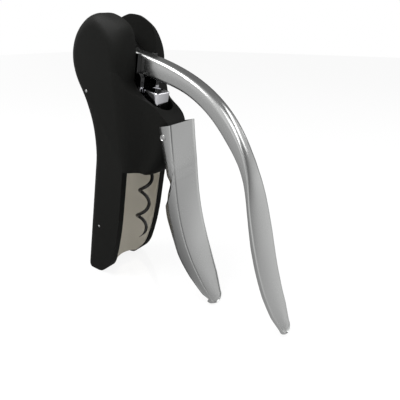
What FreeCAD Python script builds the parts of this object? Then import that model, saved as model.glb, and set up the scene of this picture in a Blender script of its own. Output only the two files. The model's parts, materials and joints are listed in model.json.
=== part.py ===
import FreeCAD, Part
import os
from math import acos, cos, pi, radians, sin, sqrt, tan

import Sketcher
from FreeCAD import Placement, Rotation, Vector

# Upright lever corkscrew. Millimetres and degrees.
# Every piece is drawn with the worm upright: X forward towards the levers, Y across, Z up.
# The whole stands leaning forward by "lean", turned about Y, on its two feet.

SIZES = {
    "lean": 12.0,
    # worm and its nut
    "worm_x": 17.8, "worm_radius": 3.9, "wire_radius": 1.25, "worm_pitch": 22.0,
    "worm_tip_z": 36.0, "worm_phase": 45.0, "worm_phase_z": 64.4, "point_turns": 0.3,
    "thread_clearance": 0.35, "nut_radius": 9.0, "nut_height": 11.8, "nut_core": 2.5,
    "collar_wall": 2.0, "collar_height": 3.5, "collar_rise": 4.0,
    # lever hinge and head
    "pivot_x": -15.3, "pivot_z": 162.5, "body_half": 22.5,
    "slot_half": 9.0, "slot_rise": -6.0, "pillow": 8.0, "axle_radius": 4.0, "axle_half": 17.0,
    "shaft_fit": 0.03, "running_gap": 0.4, "seat_gap": 0.05,
    # back, legs and foot
    "heel_x": -17.3, "back_x": -14.0, "leg_front_x": 15.9,
    "foot_flat": 6.5, "foot_x": -5.0, "arch_half": 13.0, "arch_corner": 5.0,
    # chamber for the bottle's neck
    "liner_radius": 17.0, "liner_wall": 1.0, "liner_low_z": 6.0, "ceiling_z": 96.5,
    "stop_wall": 1.35, "stop_height": 14.0, "trim_setback": 0.8,
    # nose and shoulder
    "nose_x": 40.6, "nose_half": 10.7, "nose_low_x": 30.0, "shoulder_x": 34.0,
    "shoulder_z": 137.5, "pocket_front_x": 30.0, "pocket_floor_z": 109.0,
    # gear sectors and racks
    "module": 2.0, "teeth": 20.0, "addendum": 0.8, "dedendum": 1.1, "backlash": 0.3,
    "pressure": 20.0, "sector_teeth": 9.0, "sector_wall": 3.0, "hub_radius": 11.0,
    "hub_half": 5.6, "bush_radius": 5.5, "rivet_radius": 1.25, "rivet_circle": 8.2,
    "rack_back_x": 9.6, "rack_top_back_x": 8.6, "ear_x": 12.4, "ear_low_z": 137.0,
    "ear_top_z": 157.0, "rack_pin_radius": 1.2, "rack_pin_x": 9.9, "rack_pin_z": 141.5,
    # crosshead and spindle
    "block_front_x": 24.2, "block_back_x": 12.8, "block_half": 6.3, "block_low_z": 125.5,
    "block_top_z": 148.5, "tongue_x": 5.5, "tongue_half": 5.5, "tongue_low_z": 137.5,
    "tongue_top_z": 146.5, "spindle_radius": 2.6, "boss_radius": 5.1, "boss_low_z": 110.6,
    "wire_socket": 3.0, "washer_wall": 1.0, "clip_wall": 0.8, "cap_wall": 1.4,
    "recess_radius": 5.4, "top_recess": 4.4, "low_recess": 2.4,
    # grip
    "grip_x": 37.6, "grip_z": 126.5, "grip_half": 12.6, "grip_wall": 1.5, "grip_pin_radius": 1.5,
    "rivet_head": 0.5,
    # pins that hold the shells together
    "pin_radius": 1.0, "neck_pin_x": -20.5, "neck_pin_z": 139.0, "neck_pin_sink": 0.05,
    "leg_pin_x": -3.8, "leg_pin_z": 42.1, "leg_pin_sink": 0.05,
}

DERIVED = {
    "pitch_radius": "module * teeth / 2",
    "rack_pitch_x": "pivot_x + pitch_radius",
    "sector_outer": "hub_half + sector_wall",
    "liner_outer": "liner_radius + liner_wall",
    "axle_hole": "axle_radius + shaft_fit",
    "hub_bore": "bush_radius + shaft_fit",
    "slot_radius": "pitch_radius + addendum * module + running_gap",
    "nut_low_z": "ceiling_z + running_gap",
    "nut_top_z": "ceiling_z + running_gap + nut_height",
    "groove_radius": "wire_radius + thread_clearance",
    "block_height": "block_top_z - block_low_z",
    "tongue_height": "tongue_top_z - tongue_low_z",
    "spindle_hole": "spindle_radius + shaft_fit",
    "chamber_radius": "liner_radius + liner_wall + seat_gap",
    "neck_pin_half": "body_half - neck_pin_sink",
    "leg_pin_half": "body_half - leg_pin_sink",
}

doc = FreeCAD.newDocument("lever_corkscrew")
sheet = doc.addObject("Spreadsheet::Sheet", "sizes")


def fill_sheet():
    """Write every size and every formula into the sheet, one named cell each."""
    row = 1
    for table, form in ((SIZES, "%s"), (DERIVED, "=%s")):
        for name, content in table.items():
            sheet.set("A%d" % row, name)
            sheet.set("B%d" % row, form % content)
            sheet.setAlias("B%d" % row, name)
            row += 1
    doc.recompute()


def size(name):
    """The present value of a named cell."""
    return float(sheet.get(name))


fill_sheet()
LEAN = radians(size("lean"))
PIVOT = Vector(size("pivot_x"), 0, size("pivot_z"))


# Helpers for bodies, sketches and features

def new_body(label):
    body = doc.addObject("PartDesign::Body", label)
    body.Label = label
    return body


def new_sketch(body, role, name, offset=0.0):
    """A sketch on one of the body's own origin planes, moved along the plane's normal."""
    sketch = body.newObject("Sketcher::SketchObject", name)
    plane = [f for f in body.Origin.OriginFeatures if f.Role == role][0]
    sketch.AttachmentSupport = [(plane, "")]
    sketch.MapMode = "FlatFace"
    sketch.AttachmentOffset = Placement(Vector(0, 0, offset), Rotation())
    return sketch


def flat(point):
    """A 2-D pair as a vector in a sketch's own plane."""
    return Vector(point[0], point[1], 0)


def line(a, b):
    return Part.LineSegment(flat(a), flat(b))


def arc(a, via, b):
    return Part.Arc(flat(a), flat(via), flat(b))


def spline(points):
    curve = Part.BSplineCurve()
    curve.interpolate([flat(p) for p in points])
    return curve


def polyline(points):
    return [line(a, b) for a, b in zip(points, points[1:])]


def add_outline(sketch, edges):
    """Add a closed run of edges and tie the ends that meet."""
    first = len(sketch.Geometry)
    sketch.addGeometry(edges, False)
    for i in range(len(edges)):
        here = first + i
        following = first + (i + 1) % len(edges)
        ends = [(a, b) for a in (2, 1) for b in (1, 2)]
        gap = [sketch.getPoint(here, a).distanceToPoint(sketch.getPoint(following, b)) for a, b in ends]
        a, b = ends[gap.index(min(gap))]
        sketch.addConstraint(Sketcher.Constraint("Coincident", here, a, following, b))


def add_circle(sketch, x_name, y_name, radius_name):
    """A circle whose centre and radius follow the named cells; None means zero."""
    x = size(x_name) if x_name else 0.0
    y = size(y_name) if y_name else 0.0
    index = sketch.addGeometry(Part.Circle(Vector(x, y, 0), Vector(0, 0, 1), size(radius_name)), False)
    bound = [("Radius", (index, size(radius_name)), radius_name)]
    if x_name:
        bound.append(("DistanceX", (-1, 1, index, 3, x), x_name))
    else:
        sketch.addConstraint(Sketcher.Constraint("PointOnObject", index, 3, -2))
    if y_name:
        bound.append(("DistanceY", (-1, 1, index, 3, y), y_name))
    else:
        sketch.addConstraint(Sketcher.Constraint("PointOnObject", index, 3, -1))
    for kind, values, name in bound:
        number = sketch.addConstraint(Sketcher.Constraint(kind, *values))
        sketch.setExpression("Constraints[%d]" % number, "sizes." + name)


def add_box(sketch, x0, y0, x1, y1):
    add_outline(sketch, polyline([(x0, y0), (x1, y0), (x1, y1), (x0, y1), (x0, y0)]))


def extrude(body, kind, sketch, length, symmetric=False, reverse=False):
    """A Pad or Pocket; length is a number, a formula on the sheet, or None for through all."""
    feature = body.newObject("PartDesign::" + kind, kind.lower())
    feature.Profile = sketch
    if length is None:
        feature.Type = "ThroughAll"
    elif isinstance(length, str):
        feature.setExpression("Length", length)
    else:
        feature.Length = length
    if symmetric:
        feature.SideType = "Symmetric"
    feature.Reversed = reverse
    doc.recompute()
    return feature


def y_cylinder(label, x_name, z_name, radius_name, half_name):
    """A plain pin across the body, centred on Y = 0."""
    body = new_body(label)
    sketch = new_sketch(body, "XZ_Plane", label + "_circle")
    add_circle(sketch, x_name, z_name, radius_name)
    extrude(body, "Pad", sketch, "2 * sizes." + half_name, symmetric=True)
    return body


def solid(label, shape):
    """A piece whose shape comes from Part's own functions."""
    feature = doc.addObject("Part::Feature", label)
    feature.Label = label
    feature.Shape = shape
    return feature


def boolean(kind, label, base, tool):
    feature = doc.addObject("Part::" + kind, label)
    feature.Label = label
    feature.Base = base
    feature.Tool = tool
    doc.recompute()
    return feature


# Outlines that more than one piece shares

def on_circle(centre, radius, degrees):
    angle = radians(degrees)
    return (centre[0] + radius * cos(angle), centre[1] + radius * sin(angle))


def back_line():
    """A point on the sloping back and the unit vector up along it."""
    low = Vector(size("heel_x"), 5, 0)
    along = Vector(size("back_x"), 90, 0) - low
    along.normalize()
    return low, along


def leg_front(setback):
    """The front edge of a leg from the ceiling down to the foot's flat."""
    x = size("leg_front_x") - setback
    toe = foot_points()[1]
    return [
        line((x, size("ceiling_z") + 0.5), (x, 62)),
        arc((x, 62), (x - 0.7, 42.5), (x - 3.4, 22)),
        arc((x - 3.4, 22), (x - 7.5, 9.9), (toe[0] + 3 - setback / 2, toe[1] + 1.4)),
    ]


def foot_points():
    """Heel and toe ends of the flat that stands on the table."""
    half = size("foot_flat") / 2
    x = size("foot_x")
    return [(x - half, (x - half) * tan(LEAN)), (x + half, (x + half) * tan(LEAN))]


# Shells: two mirrored halves, split at Y = 0

# Waist, head and the front of a cheek, from the hinge, upward along the back and down the front
HEAD_OUTLINE = [(1.25, -64.5), (-0.1, -55.0), (-3.0, -44.5), (-7.3, -35.5), (-12.0, -28.3), (-17.0, -22.2),
                (-21.0, -15.3), (-23.1, -7.5), (-22.7, 0.5), (-19.6, 8.8), (-14.0, 16.0), (-7.7, 20.7),
                (-1.7, 22.4), (4.8, 20.8), (11.4, 17.3), (17.0, 12.6), (20.8, 6.4), (22.6, -2.5)]


def flank_body(label, side):
    """Head cheek, waist and back of one half, with its pillowed outer edge."""
    body = new_body(label)
    sketch = new_sketch(body, "XZ_Plane", label + "_side")
    low, along = back_line()
    bottom = -12.0
    heel = low + along * ((bottom - low.y) / along.y)
    back = Vector(size("back_x"), 90, 0)
    head = [(PIVOT.x + x, PIVOT.z + z) for x, z in HEAD_OUTLINE]
    front = head[-1]
    edges = [
        line(heel, back),
        spline([(back.x, back.y)] + head),
        line(front, (front[0], bottom)),
        line((front[0], bottom), heel),
    ]
    add_outline(sketch, edges)
    extrude(body, "Pad", sketch, "sizes.body_half", reverse=(side > 0))
    round_edges(body, size("pillow"), lambda e: abs(abs(e.CenterOfMass.y) - size("body_half")) < 0.01
                and e.CenterOfMass.z > -11)
    return body


def round_edges(body, radius, wanted):
    """Fillet the edges of the body's tip that the test picks."""
    tip = body.Tip
    names = ["Edge%d" % (i + 1) for i, e in enumerate(tip.Shape.Edges) if wanted(e)]
    fillet = body.newObject("PartDesign::Fillet", "rounding")
    fillet.Base = (tip, names)
    fillet.Radius = radius
    doc.recompute()
    return fillet


def nose_section(body, name, z, front, tip_half, cheek_x, flare_x):
    """Half plan of the nose at one height: rounded tip, straight cheek, flare to the side."""
    half = size("body_half")
    sketch = new_sketch(body, "XY_Plane", name, z)
    tip = Part.BezierCurve()
    tip.setPoles([flat((front, 0)), flat((front, tip_half * 0.6)),
                  flat((front - 0.25 * (front - cheek_x), tip_half)), flat((cheek_x, tip_half))])
    flare = Part.BezierCurve()
    flare.setPoles([flat((cheek_x, tip_half)), flat((cheek_x - 0.5 * (cheek_x - flare_x), tip_half + 0.4)),
                    flat((flare_x + 0.45 * (cheek_x - flare_x), half)), flat((flare_x, half))])
    back = -4.0
    edges = [line((back, 0), (front, 0)), tip.toBSpline(), flare.toBSpline(),
             line((flare_x, half), (back, half)), line((back, half), (back, 0))]
    add_outline(sketch, edges)
    return sketch


def nose_body(label):
    """Nose and shoulder of one half (Y > 0), lofted upward and cut to its side outline."""
    body = new_body(label)
    half = size("nose_half")
    nose = size("nose_x")
    low = size("ceiling_z")
    rows = [
        (low, size("nose_low_x"), 13.6, 25.5, size("leg_front_x")),
        (low + 14, nose - 3.6, 11.4, 29.0, 11.0),
        (low + 30, nose, half, 30.0, 7.0),
        (low + 44, nose - 1.0, half - 0.4, 27.0, 4.0),
        (low + 60, nose - 4.0, half - 1.2, 20.0, 0.0),
    ]
    sketches = [nose_section(body, "nose_%d" % i, *row) for i, row in enumerate(rows)]
    loft = body.newObject("PartDesign::AdditiveLoft", "nose_loft")
    loft.Profile = sketches[0]
    loft.Sections = sketches[1:]
    doc.recompute()
    return body


def primitive(kind, name, base, rotation=None, **formulas):
    """A Part primitive whose sizes follow formulas on the sheet."""
    item = doc.addObject("Part::" + kind, name)
    for field, formula in formulas.items():
        item.setExpression(field, formula)
    item.Placement = Placement(base, rotation or Rotation())
    doc.recompute()
    return item


def across(name, x, z, radius, half):
    """A cylinder lying along Y, centred on Y = 0; radius and half are formulas."""
    turned = Rotation(Vector(1, 0, 0), -90)
    start = Vector(x, -evaluate(half), z)
    return primitive("Cylinder", name, start, turned, Radius=radius, Height="2 * (%s)" % half)


def upright(name, x, z, radius, height):
    return primitive("Cylinder", name, Vector(x, 0, z), Radius=radius, Height=height)


def evaluate(formula):
    """The value of a formula on the sheet."""
    return float(sheet.evalExpression(formula))


def pad_profile(label, role, edges, half):
    """A pad of one closed outline, symmetric about the sketch's plane."""
    body = new_body(label)
    sketch = new_sketch(body, role, label + "_outline")
    add_outline(sketch, edges)
    extrude(body, "Pad", sketch, 2 * half, symmetric=True)
    return body


def fuse(label, parts):
    feature = doc.addObject("Part::MultiFuse", label)
    feature.Label = label
    feature.Shapes = parts
    doc.recompute()
    return feature


def leg_body(label):
    """The forward half of a leg, from under the shoulder down to the toe."""
    front = leg_front(0)
    top = front[0].StartPoint.y
    toe = front[-1].EndPoint
    edges = front + polyline([(toe.x, toe.y), (toe.x, -12), (-4, -12), (-4, top), (size("leg_front_x"), top)])
    body = new_body(label)
    sketch = new_sketch(body, "XZ_Plane", label + "_outline")
    add_outline(sketch, edges)
    extrude(body, "Pad", sketch, "sizes.body_half", reverse=True)
    return body


def foot_cutter(label):
    """Everything below the sole: heel curve, flat and toe."""
    heel, toe = foot_points()
    front = leg_front(0)
    end = front[-1].EndPoint
    knee = front[-1].StartPoint
    start = (size("heel_x") + 0.1, 5.0)
    via = (heel[0] - 6.9, heel[1] + 1.8)
    edges = [arc(start, via, heel), line(heel, toe), line(toe, (end.x, end.y)),
             arc((end.x, end.y), front_via(front[-1]), (knee.x, knee.y))]
    edges += polyline([(knee.x, knee.y), (60, knee.y), (60, -40), (-40, -40), (-40, 5.0), start])
    return pad_profile(label, "XZ_Plane", edges, 30)


def front_via(curve):
    middle = curve.value((curve.FirstParameter + curve.LastParameter) / 2)
    return (middle.x, middle.y)


def interior():
    """What the two shells leave open: chamber, slot, pocket, nut seat and pin holes."""
    chamber = "sizes.chamber_radius"
    wide = size("chamber_radius")
    ceiling = size("ceiling_z")
    worm_x = size("worm_x")
    px, pz = PIVOT.x, PIVOT.z
    floor = size("pocket_floor_z")
    rack_tip = size("rack_pitch_x") - size("addendum") * size("module") - size("running_gap")
    top = pz + 40
    half = size("slot_half")
    round_x = size("pocket_front_x") - half
    parts = [
        upright("chamber", worm_x, -20, chamber, "sizes.ceiling_z + 20"),
        primitive("Box", "chamber_mouth", Vector(worm_x, -wide, -20), Length="60",
                  Width="2 * (%s)" % chamber, Height="sizes.ceiling_z + 20"),
        across("slot_disc", px, pz, "sizes.slot_radius", "sizes.slot_half"),
        upright("pocket_round", round_x, floor, "sizes.slot_half", "80"),
        primitive("Box", "pocket", Vector(rack_tip, -half, floor), Length="%f" % (round_x - rack_tip),
                  Width="2 * sizes.slot_half", Height="80"),
        pad_profile("slot_mouth", "XZ_Plane", polyline(
            [(px, pz), (px - 45, pz + 45 * tan(radians(size("slot_rise")))), (px - 45, top), (round_x, top),
             (round_x, pz), (px, pz)]), half),
        upright("nut_seat", worm_x, ceiling - 1, "sizes.nut_radius + sizes.shaft_fit", "sizes.nut_height + 3"),
        upright("nut_collar_seat", worm_x, ceiling + size("collar_rise") - size("shaft_fit"),
                "sizes.nut_radius + sizes.collar_wall + sizes.shaft_fit", "sizes.collar_height + 2 * sizes.shaft_fit"),
        across("axle_seat", px, pz, "sizes.axle_hole", "sizes.axle_half + sizes.shaft_fit"),
        across("neck_pin_hole", size("neck_pin_x"), size("neck_pin_z"), "sizes.pin_radius + sizes.shaft_fit", "30"),
        across("leg_pin_hole", size("leg_pin_x"), size("leg_pin_z"), "sizes.pin_radius + sizes.shaft_fit", "30"),
        across("grip_pin_hole", size("grip_x"), size("grip_z"), "sizes.grip_pin_radius + sizes.shaft_fit", "30"),
        pad_profile("back_arch", "YZ_Plane", arch_outline(), 40),
        foot_cutter("sole"),
    ]
    return parts


def arch_outline():
    """The arch between the two feet at the back, round at its upper corners."""
    half, corner = size("arch_half"), size("arch_corner")
    top = size("liner_low_z") - size("running_gap")
    inset = corner * (1 - sqrt(0.5))
    return [
        line((-half, -20), (half, -20)),
        line((half, -20), (half, top - corner)),
        arc((half, top - corner), (half - inset, top - inset), (half - corner, top)),
        line((half - corner, top), (corner - half, top)),
        arc((corner - half, top), (inset - half, top - inset), (-half, top - corner)),
        line((-half, top - corner), (-half, -20)),
    ]


# Side outline of the shoulder, from its own reference point, from the cheek forward over the nose
SHOULDER = [(-30.0, 22.5), (-26.5, 14.4), (-22.0, 9.8), (-17.0, 7.2), (-12.0, 5.4), (-7.0, 3.5), (-2.5, 1.2),
            (1.5, -1.8), (5.0, -6.5), (7.5, -12.5)]


def shoulder_limit(label):
    """Side outline that the nose is trimmed to: level underside, hollow shoulder, rounded front."""
    top = [(size("shoulder_x") + x, size("shoulder_z") + z) for x, z in SHOULDER]
    low = size("ceiling_z")
    rest = polyline([top[-1], (60, top[-1][1]), (60, low), (-10, low), (-10, top[0][1]), top[0]])
    return pad_profile(label, "XZ_Plane", [spline(top)] + rest, 40)


def make_shells():
    nose = boolean("Common", "nose_trimmed", nose_body("nose"), shoulder_limit("shoulder"))
    left = fuse("left_outer", [flank_body("flank", 1), leg_body("leg"), nose])
    for cutter in interior():
        left = boolean("Cut", "left_less_" + cutter.Label, left, cutter)
    left.Label = "left_shell"
    right = doc.addObject("Part::Mirroring", "right_shell")
    right.Label = "right_shell"
    right.Source = left
    right.Normal = Vector(0, 1, 0)
    doc.recompute()
    return [left, right]


# Pieces fixed in the shells

def trough(label, inner, wall, low, height):
    """A ring round the worm's axis whose front follows the legs, open towards the grip."""
    body = new_body(label)
    sketch = new_sketch(body, "XY_Plane", label + "_ring", low)
    for radius in (inner, inner + wall):
        circle = Part.Circle(Vector(size("worm_x"), 0, 0), Vector(0, 0, 1), radius)
        sketch.addGeometry(circle, False)
    extrude(body, "Pad", sketch, height)
    front = leg_front(size("trim_setback"))
    start = front[0].StartPoint
    end = front[-1].EndPoint
    trim = new_sketch(body, "XZ_Plane", label + "_front")
    add_outline(trim, front + polyline([(end.x, end.y), (end.x, -20), (80, -20), (80, start.y), (start.x, start.y)]))
    extrude(body, "Pocket", trim, None, symmetric=True)
    return body


def fixed_pieces():
    ceiling = size("ceiling_z")
    liner_height = ceiling - 0.2 - size("liner_low_z")
    stop_low = ceiling - 0.2 - size("stop_height")
    stop_inner = size("liner_radius") - size("stop_wall") - size("seat_gap")
    return [
        trough("neck_liner", size("liner_radius"), size("liner_wall"), size("liner_low_z"), liner_height),
        trough("lip_stop_ring", stop_inner, size("stop_wall"), stop_low, size("stop_height")),
        worm_nut(),
        y_cylinder("lever_axle", "pivot_x", "pivot_z", "axle_radius", "axle_half"),
        y_cylinder("neck_pin", "neck_pin_x", "neck_pin_z", "pin_radius", "neck_pin_half"),
        y_cylinder("leg_pin", "leg_pin_x", "leg_pin_z", "pin_radius", "leg_pin_half"),
        grip_pin(),
    ]


def grip_pin():
    """A rivet with low heads on the outside of the two flanges."""
    x, z = size("grip_x"), size("grip_z")
    half = "sizes.grip_half + sizes.seat_gap"
    shank = across("grip_pin_shank", x, z, "sizes.grip_pin_radius", half)
    head = across("grip_pin_head", x, z, "sizes.grip_pin_radius + sizes.rivet_head",
                  "sizes.grip_half + sizes.rivet_head + sizes.seat_gap")
    gap = across("grip_pin_gap", x, z, "sizes.grip_pin_radius + 2", half)
    heads = boolean("Cut", "grip_pin_heads", head, gap)
    return fuse("grip_pivot_pin", [shank, heads])


# Worm: a round wire wound on a helix, with a tapered point

def worm_angle(z):
    return size("worm_phase") + 360 * (z - size("worm_phase_z")) / size("worm_pitch")


def helix_tube(low, high, radius, start_radius=None):
    """A round tube along the worm's helix between two heights."""
    pitch = size("worm_pitch")
    coil = size("worm_radius")
    path = Part.makeHelix(pitch, high - low, coil)
    slope = Vector(0, 2 * pi * coil, pitch)
    ends = [Part.Circle(Vector(coil, 0, 0), slope, start_radius or radius)]
    turn = 2 * pi * (high - low) / pitch
    if start_radius:
        tangent = Vector(-sin(turn) * 2 * pi * coil, cos(turn) * 2 * pi * coil, pitch)
        ends.append(Part.Circle(Vector(coil * cos(turn), coil * sin(turn), high - low), tangent, radius))
    profiles = [Part.Wire(Part.Edge(circle)) for circle in ends]
    tube = Part.Wire(path).makePipeShell(profiles, True, True)
    tube.rotate(Vector(0, 0, 0), Vector(0, 0, 1), worm_angle(low))
    tube.translate(Vector(size("worm_x"), 0, low))
    return tube


def worm_wire(top):
    low = size("worm_tip_z")
    shoulder = low + size("point_turns") * size("worm_pitch")
    radius = size("wire_radius")
    point = helix_tube(low, shoulder, radius, 0.3)
    return point.fuse(helix_tube(shoulder, top, radius))


def worm_nut():
    """Round nut with a collar; its bore is the worm's own path, a little wider."""
    low, top = size("nut_low_z"), size("nut_top_z")
    radius = size("nut_radius")
    centre = Vector(size("worm_x"), 0, low)
    body = Part.makeCylinder(radius, size("nut_height"), centre)
    collar_low = Vector(centre.x, 0, size("ceiling_z") + size("collar_rise"))
    collar = Part.makeCylinder(radius + size("collar_wall"), size("collar_height"), collar_low)
    core = Part.makeCylinder(size("nut_core"), size("nut_height") + 2, centre - Vector(0, 0, 1))
    groove = helix_tube(low - 3, top + 3, size("groove_radius"))
    return solid("worm_nut", body.fuse(collar).cut(core).cut(groove))


# Lever, its gear sectors and the racks they drive

def involute(angle):
    return tan(angle) - angle


def sector_outline():
    """Points of the toothed sector's edge, first tooth pointing forward, the rest below it."""
    module = size("module")
    pitch_radius = size("pitch_radius")
    pressure = radians(size("pressure"))
    base = pitch_radius * cos(pressure)
    root = pitch_radius - size("dedendum") * module
    tip = pitch_radius + size("addendum") * module
    half = pi / (2 * size("teeth")) - size("backlash") / (4 * pitch_radius)
    steps = 5
    radii = [base + (tip - base) * k / (steps - 1) for k in range(steps)]
    flank = [(r, half + involute(pressure) - involute(acos_safe(base / r))) for r in radii]
    pitch_angle = 2 * pi / size("teeth")
    points = []
    for tooth in range(int(size("sector_teeth"))):
        middle = -tooth * pitch_angle
        upper = [(root, flank[0][1])] + flank
        points += [(r, middle + a) for r, a in upper]
        points += [(r, middle - a) for r, a in reversed(upper)]
    return [(PIVOT.x + r * cos(a), PIVOT.z + r * sin(a)) for r, a in points]


def acos_safe(ratio):
    return acos(min(1.0, ratio))


def sector_profile():
    points = sector_outline()
    first, last = points[0], points[-1]
    hub = size("hub_radius") - 1.0
    back = on_circle((PIVOT.x, PIVOT.z), hub, 90)
    side = on_circle((PIVOT.x, PIVOT.z), hub, 180 + 30)
    edges = polyline(points)
    edges.append(line(last, side))
    edges.append(arc(side, on_circle((PIVOT.x, PIVOT.z), hub, 150), back))
    edges.append(line(back, first))
    return edges


def gear_sector(label, side):
    """One toothed sector beside the lever's hub."""
    body = new_body(label)
    offset = -side * size("hub_half")
    sketch = new_sketch(body, "XZ_Plane", label + "_teeth", offset)
    add_outline(sketch, sector_profile())
    add_circle(sketch, "pivot_x", "pivot_z", "axle_hole")
    for x, z in rivet_centres():
        sketch.addGeometry(Part.Circle(Vector(x, z, 0), Vector(0, 0, 1), size("rivet_radius") + 0.02), False)
    extrude(body, "Pad", sketch, "sizes.sector_wall", reverse=(side > 0))
    return body


def rivet_centres():
    return [on_circle((PIVOT.x, PIVOT.z), size("rivet_circle"), angle) for angle in (-30, -95, -160)]


def from_hinge(edges, x_name, z_name):
    """Edges drawn from a hinge's own centre, moved to where the hinge is."""
    for edge in edges:
        edge.translate(Vector(size(x_name), size(z_name), 0))
    return edges


def lever_side():
    """Side outline of the lever: level root, long shoulder, thin blade with a flicked tip."""
    outer = spline([(0.0, 5.5), (20.8, 5.3), (45.1, 3.7), (69.4, -2.0), (86.7, -11.1), (99.8, -23.2),
                    (109.8, -37.5), (117.9, -53.8), (128.3, -75.8), (135.5, -90.5), (146.3, -109.0), (161.9, -129.9)])
    inner = spline([(159.6, -130.9), (143.6, -109.3), (132.9, -90.7), (125.9, -76.3), (115.9, -54.5),
                    (105.7, -39.1), (91.7, -25.9), (77.3, -15.7), (57.3, -8.2), (36.3, -6.9), (0.0, -7.0)])
    tip = arc((161.9, -129.9), (161.4, -131.1), (159.6, -130.9))
    return from_hinge([outer, tip, inner, line((0.0, -7.0), (0.0, 5.5))], "pivot_x", "pivot_z")


def leaf(points, top):
    """Closed front outline, symmetric about zero, through half-widths given from the top down."""
    shape = points + [(-w, z) for w, z in reversed(points[:-1])]
    first, last = shape[0], shape[-1]
    return [spline(shape), line(last, (last[0], top)), line((last[0], top), (first[0], top)),
            line((first[0], top), first)]


# Half-width and height from the hinge, from the top down
LEVER_WIDTHS = [(5.6, -26.5), (5.9, -32.5), (7.4, -40.9), (9.2, -48.0), (10.8, -55.0), (11.8, -63.5),
                (12.4, -75.5), (12.2, -87.5), (11.2, -104.5), (9.3, -118.0), (5.6, -127.5), (0, -131.1)]
GRIP_WIDTHS = [(12.6, -26.5), (12.6, -46.5), (12.4, -64.5), (11.6, -76.5), (9.6, -90.5), (6.2, -101.9),
               (0, -106.9)]


def trim_width(body, widths, hinge_z):
    """Cut away everything outside the front outline."""
    sketch = new_sketch(body, "YZ_Plane", body.Label + "_front")
    heights = [(w, z + hinge_z) for w, z in widths]
    add_outline(sketch, leaf(heights, hinge_z + 40))
    add_box(sketch, -60, -60, 60, 260)
    extrude(body, "Pocket", sketch, None, symmetric=True)


def main_lever():
    body = new_body("lever_bar")
    sketch = new_sketch(body, "XZ_Plane", "lever_side")
    add_outline(sketch, lever_side())
    extrude(body, "Pad", sketch, 30, symmetric=True)
    hub_sketch = new_sketch(body, "XZ_Plane", "lever_hub")
    add_circle(hub_sketch, "pivot_x", "pivot_z", "hub_radius")
    extrude(body, "Pad", hub_sketch, "2 * sizes.hub_half", symmetric=True)
    trim_width(body, LEVER_WIDTHS, PIVOT.z)
    bore = new_sketch(body, "XZ_Plane", "lever_bores")
    add_circle(bore, "pivot_x", "pivot_z", "hub_bore")
    for x, z in rivet_centres():
        bore.addGeometry(Part.Circle(Vector(x, z, 0), Vector(0, 0, 1), size("rivet_radius") + 0.02), False)
    extrude(body, "Pocket", bore, None, symmetric=True)
    body.Label = "main_lever"
    return body


def sector_rivets():
    half = size("sector_outer")
    rivets = [Part.makeCylinder(size("rivet_radius"), 2 * half, Vector(x, -half, z), Vector(0, 1, 0))
              for x, z in rivet_centres()]
    return solid("sector_rivets", Part.makeCompound(rivets))


def lever_bush():
    body = new_body("lever_bush")
    sketch = new_sketch(body, "XZ_Plane", "bush_ring")
    add_circle(sketch, "pivot_x", "pivot_z", "bush_radius")
    add_circle(sketch, "pivot_x", "pivot_z", "axle_hole")
    extrude(body, "Pad", sketch, "2 * sizes.hub_half", symmetric=True)
    return body


def rack_outline():
    """Teeth facing the hinge, a plain back, and an ear that is pinned to the crosshead."""
    module = size("module")
    pitch = pi * module
    x = size("rack_pitch_x")
    tip = x - size("addendum") * module
    root = x + size("dedendum") * module
    lean = tan(radians(size("pressure")))
    thick = pitch / 2 - size("backlash") / 2
    at_tip = thick / 2 - size("addendum") * module * lean
    at_root = thick / 2 + size("dedendum") * module * lean
    count = int(size("sector_teeth"))
    points = []
    for k in range(count):
        middle = PIVOT.z + pitch / 2 - k * pitch
        points += [(root, middle + at_root), (tip, middle + at_tip), (tip, middle - at_tip), (root, middle - at_root)]
    low = points[-1][1] - 1.2
    top = points[0][1]
    back, top_back, ear = size("rack_back_x"), size("rack_top_back_x"), size("ear_x")
    crown = size("ear_top_z")
    radius = (ear - top_back) / 2 + 0.6
    edges = polyline(points + [(root, low), (back, low), (back, size("ear_low_z")),
                               (ear, size("ear_low_z")), (ear, crown - radius)])
    edges.append(arc((ear, crown - radius), (ear - radius * 0.35, crown - radius * 0.2), (top_back, crown)))
    edges += polyline([(top_back, crown), (top_back, top), points[0]])
    return edges


def rack(label, side):
    body = new_body(label)
    sketch = new_sketch(body, "XZ_Plane", label + "_teeth", -side * size("hub_half"))
    add_outline(sketch, rack_outline())
    sketch.addGeometry(Part.Circle(Vector(size("rack_pin_x"), size("rack_pin_z"), 0), Vector(0, 0, 1),
                                   size("rack_pin_radius") + size("shaft_fit")), False)
    extrude(body, "Pad", sketch, "sizes.sector_wall", reverse=(side > 0))
    return body


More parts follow.
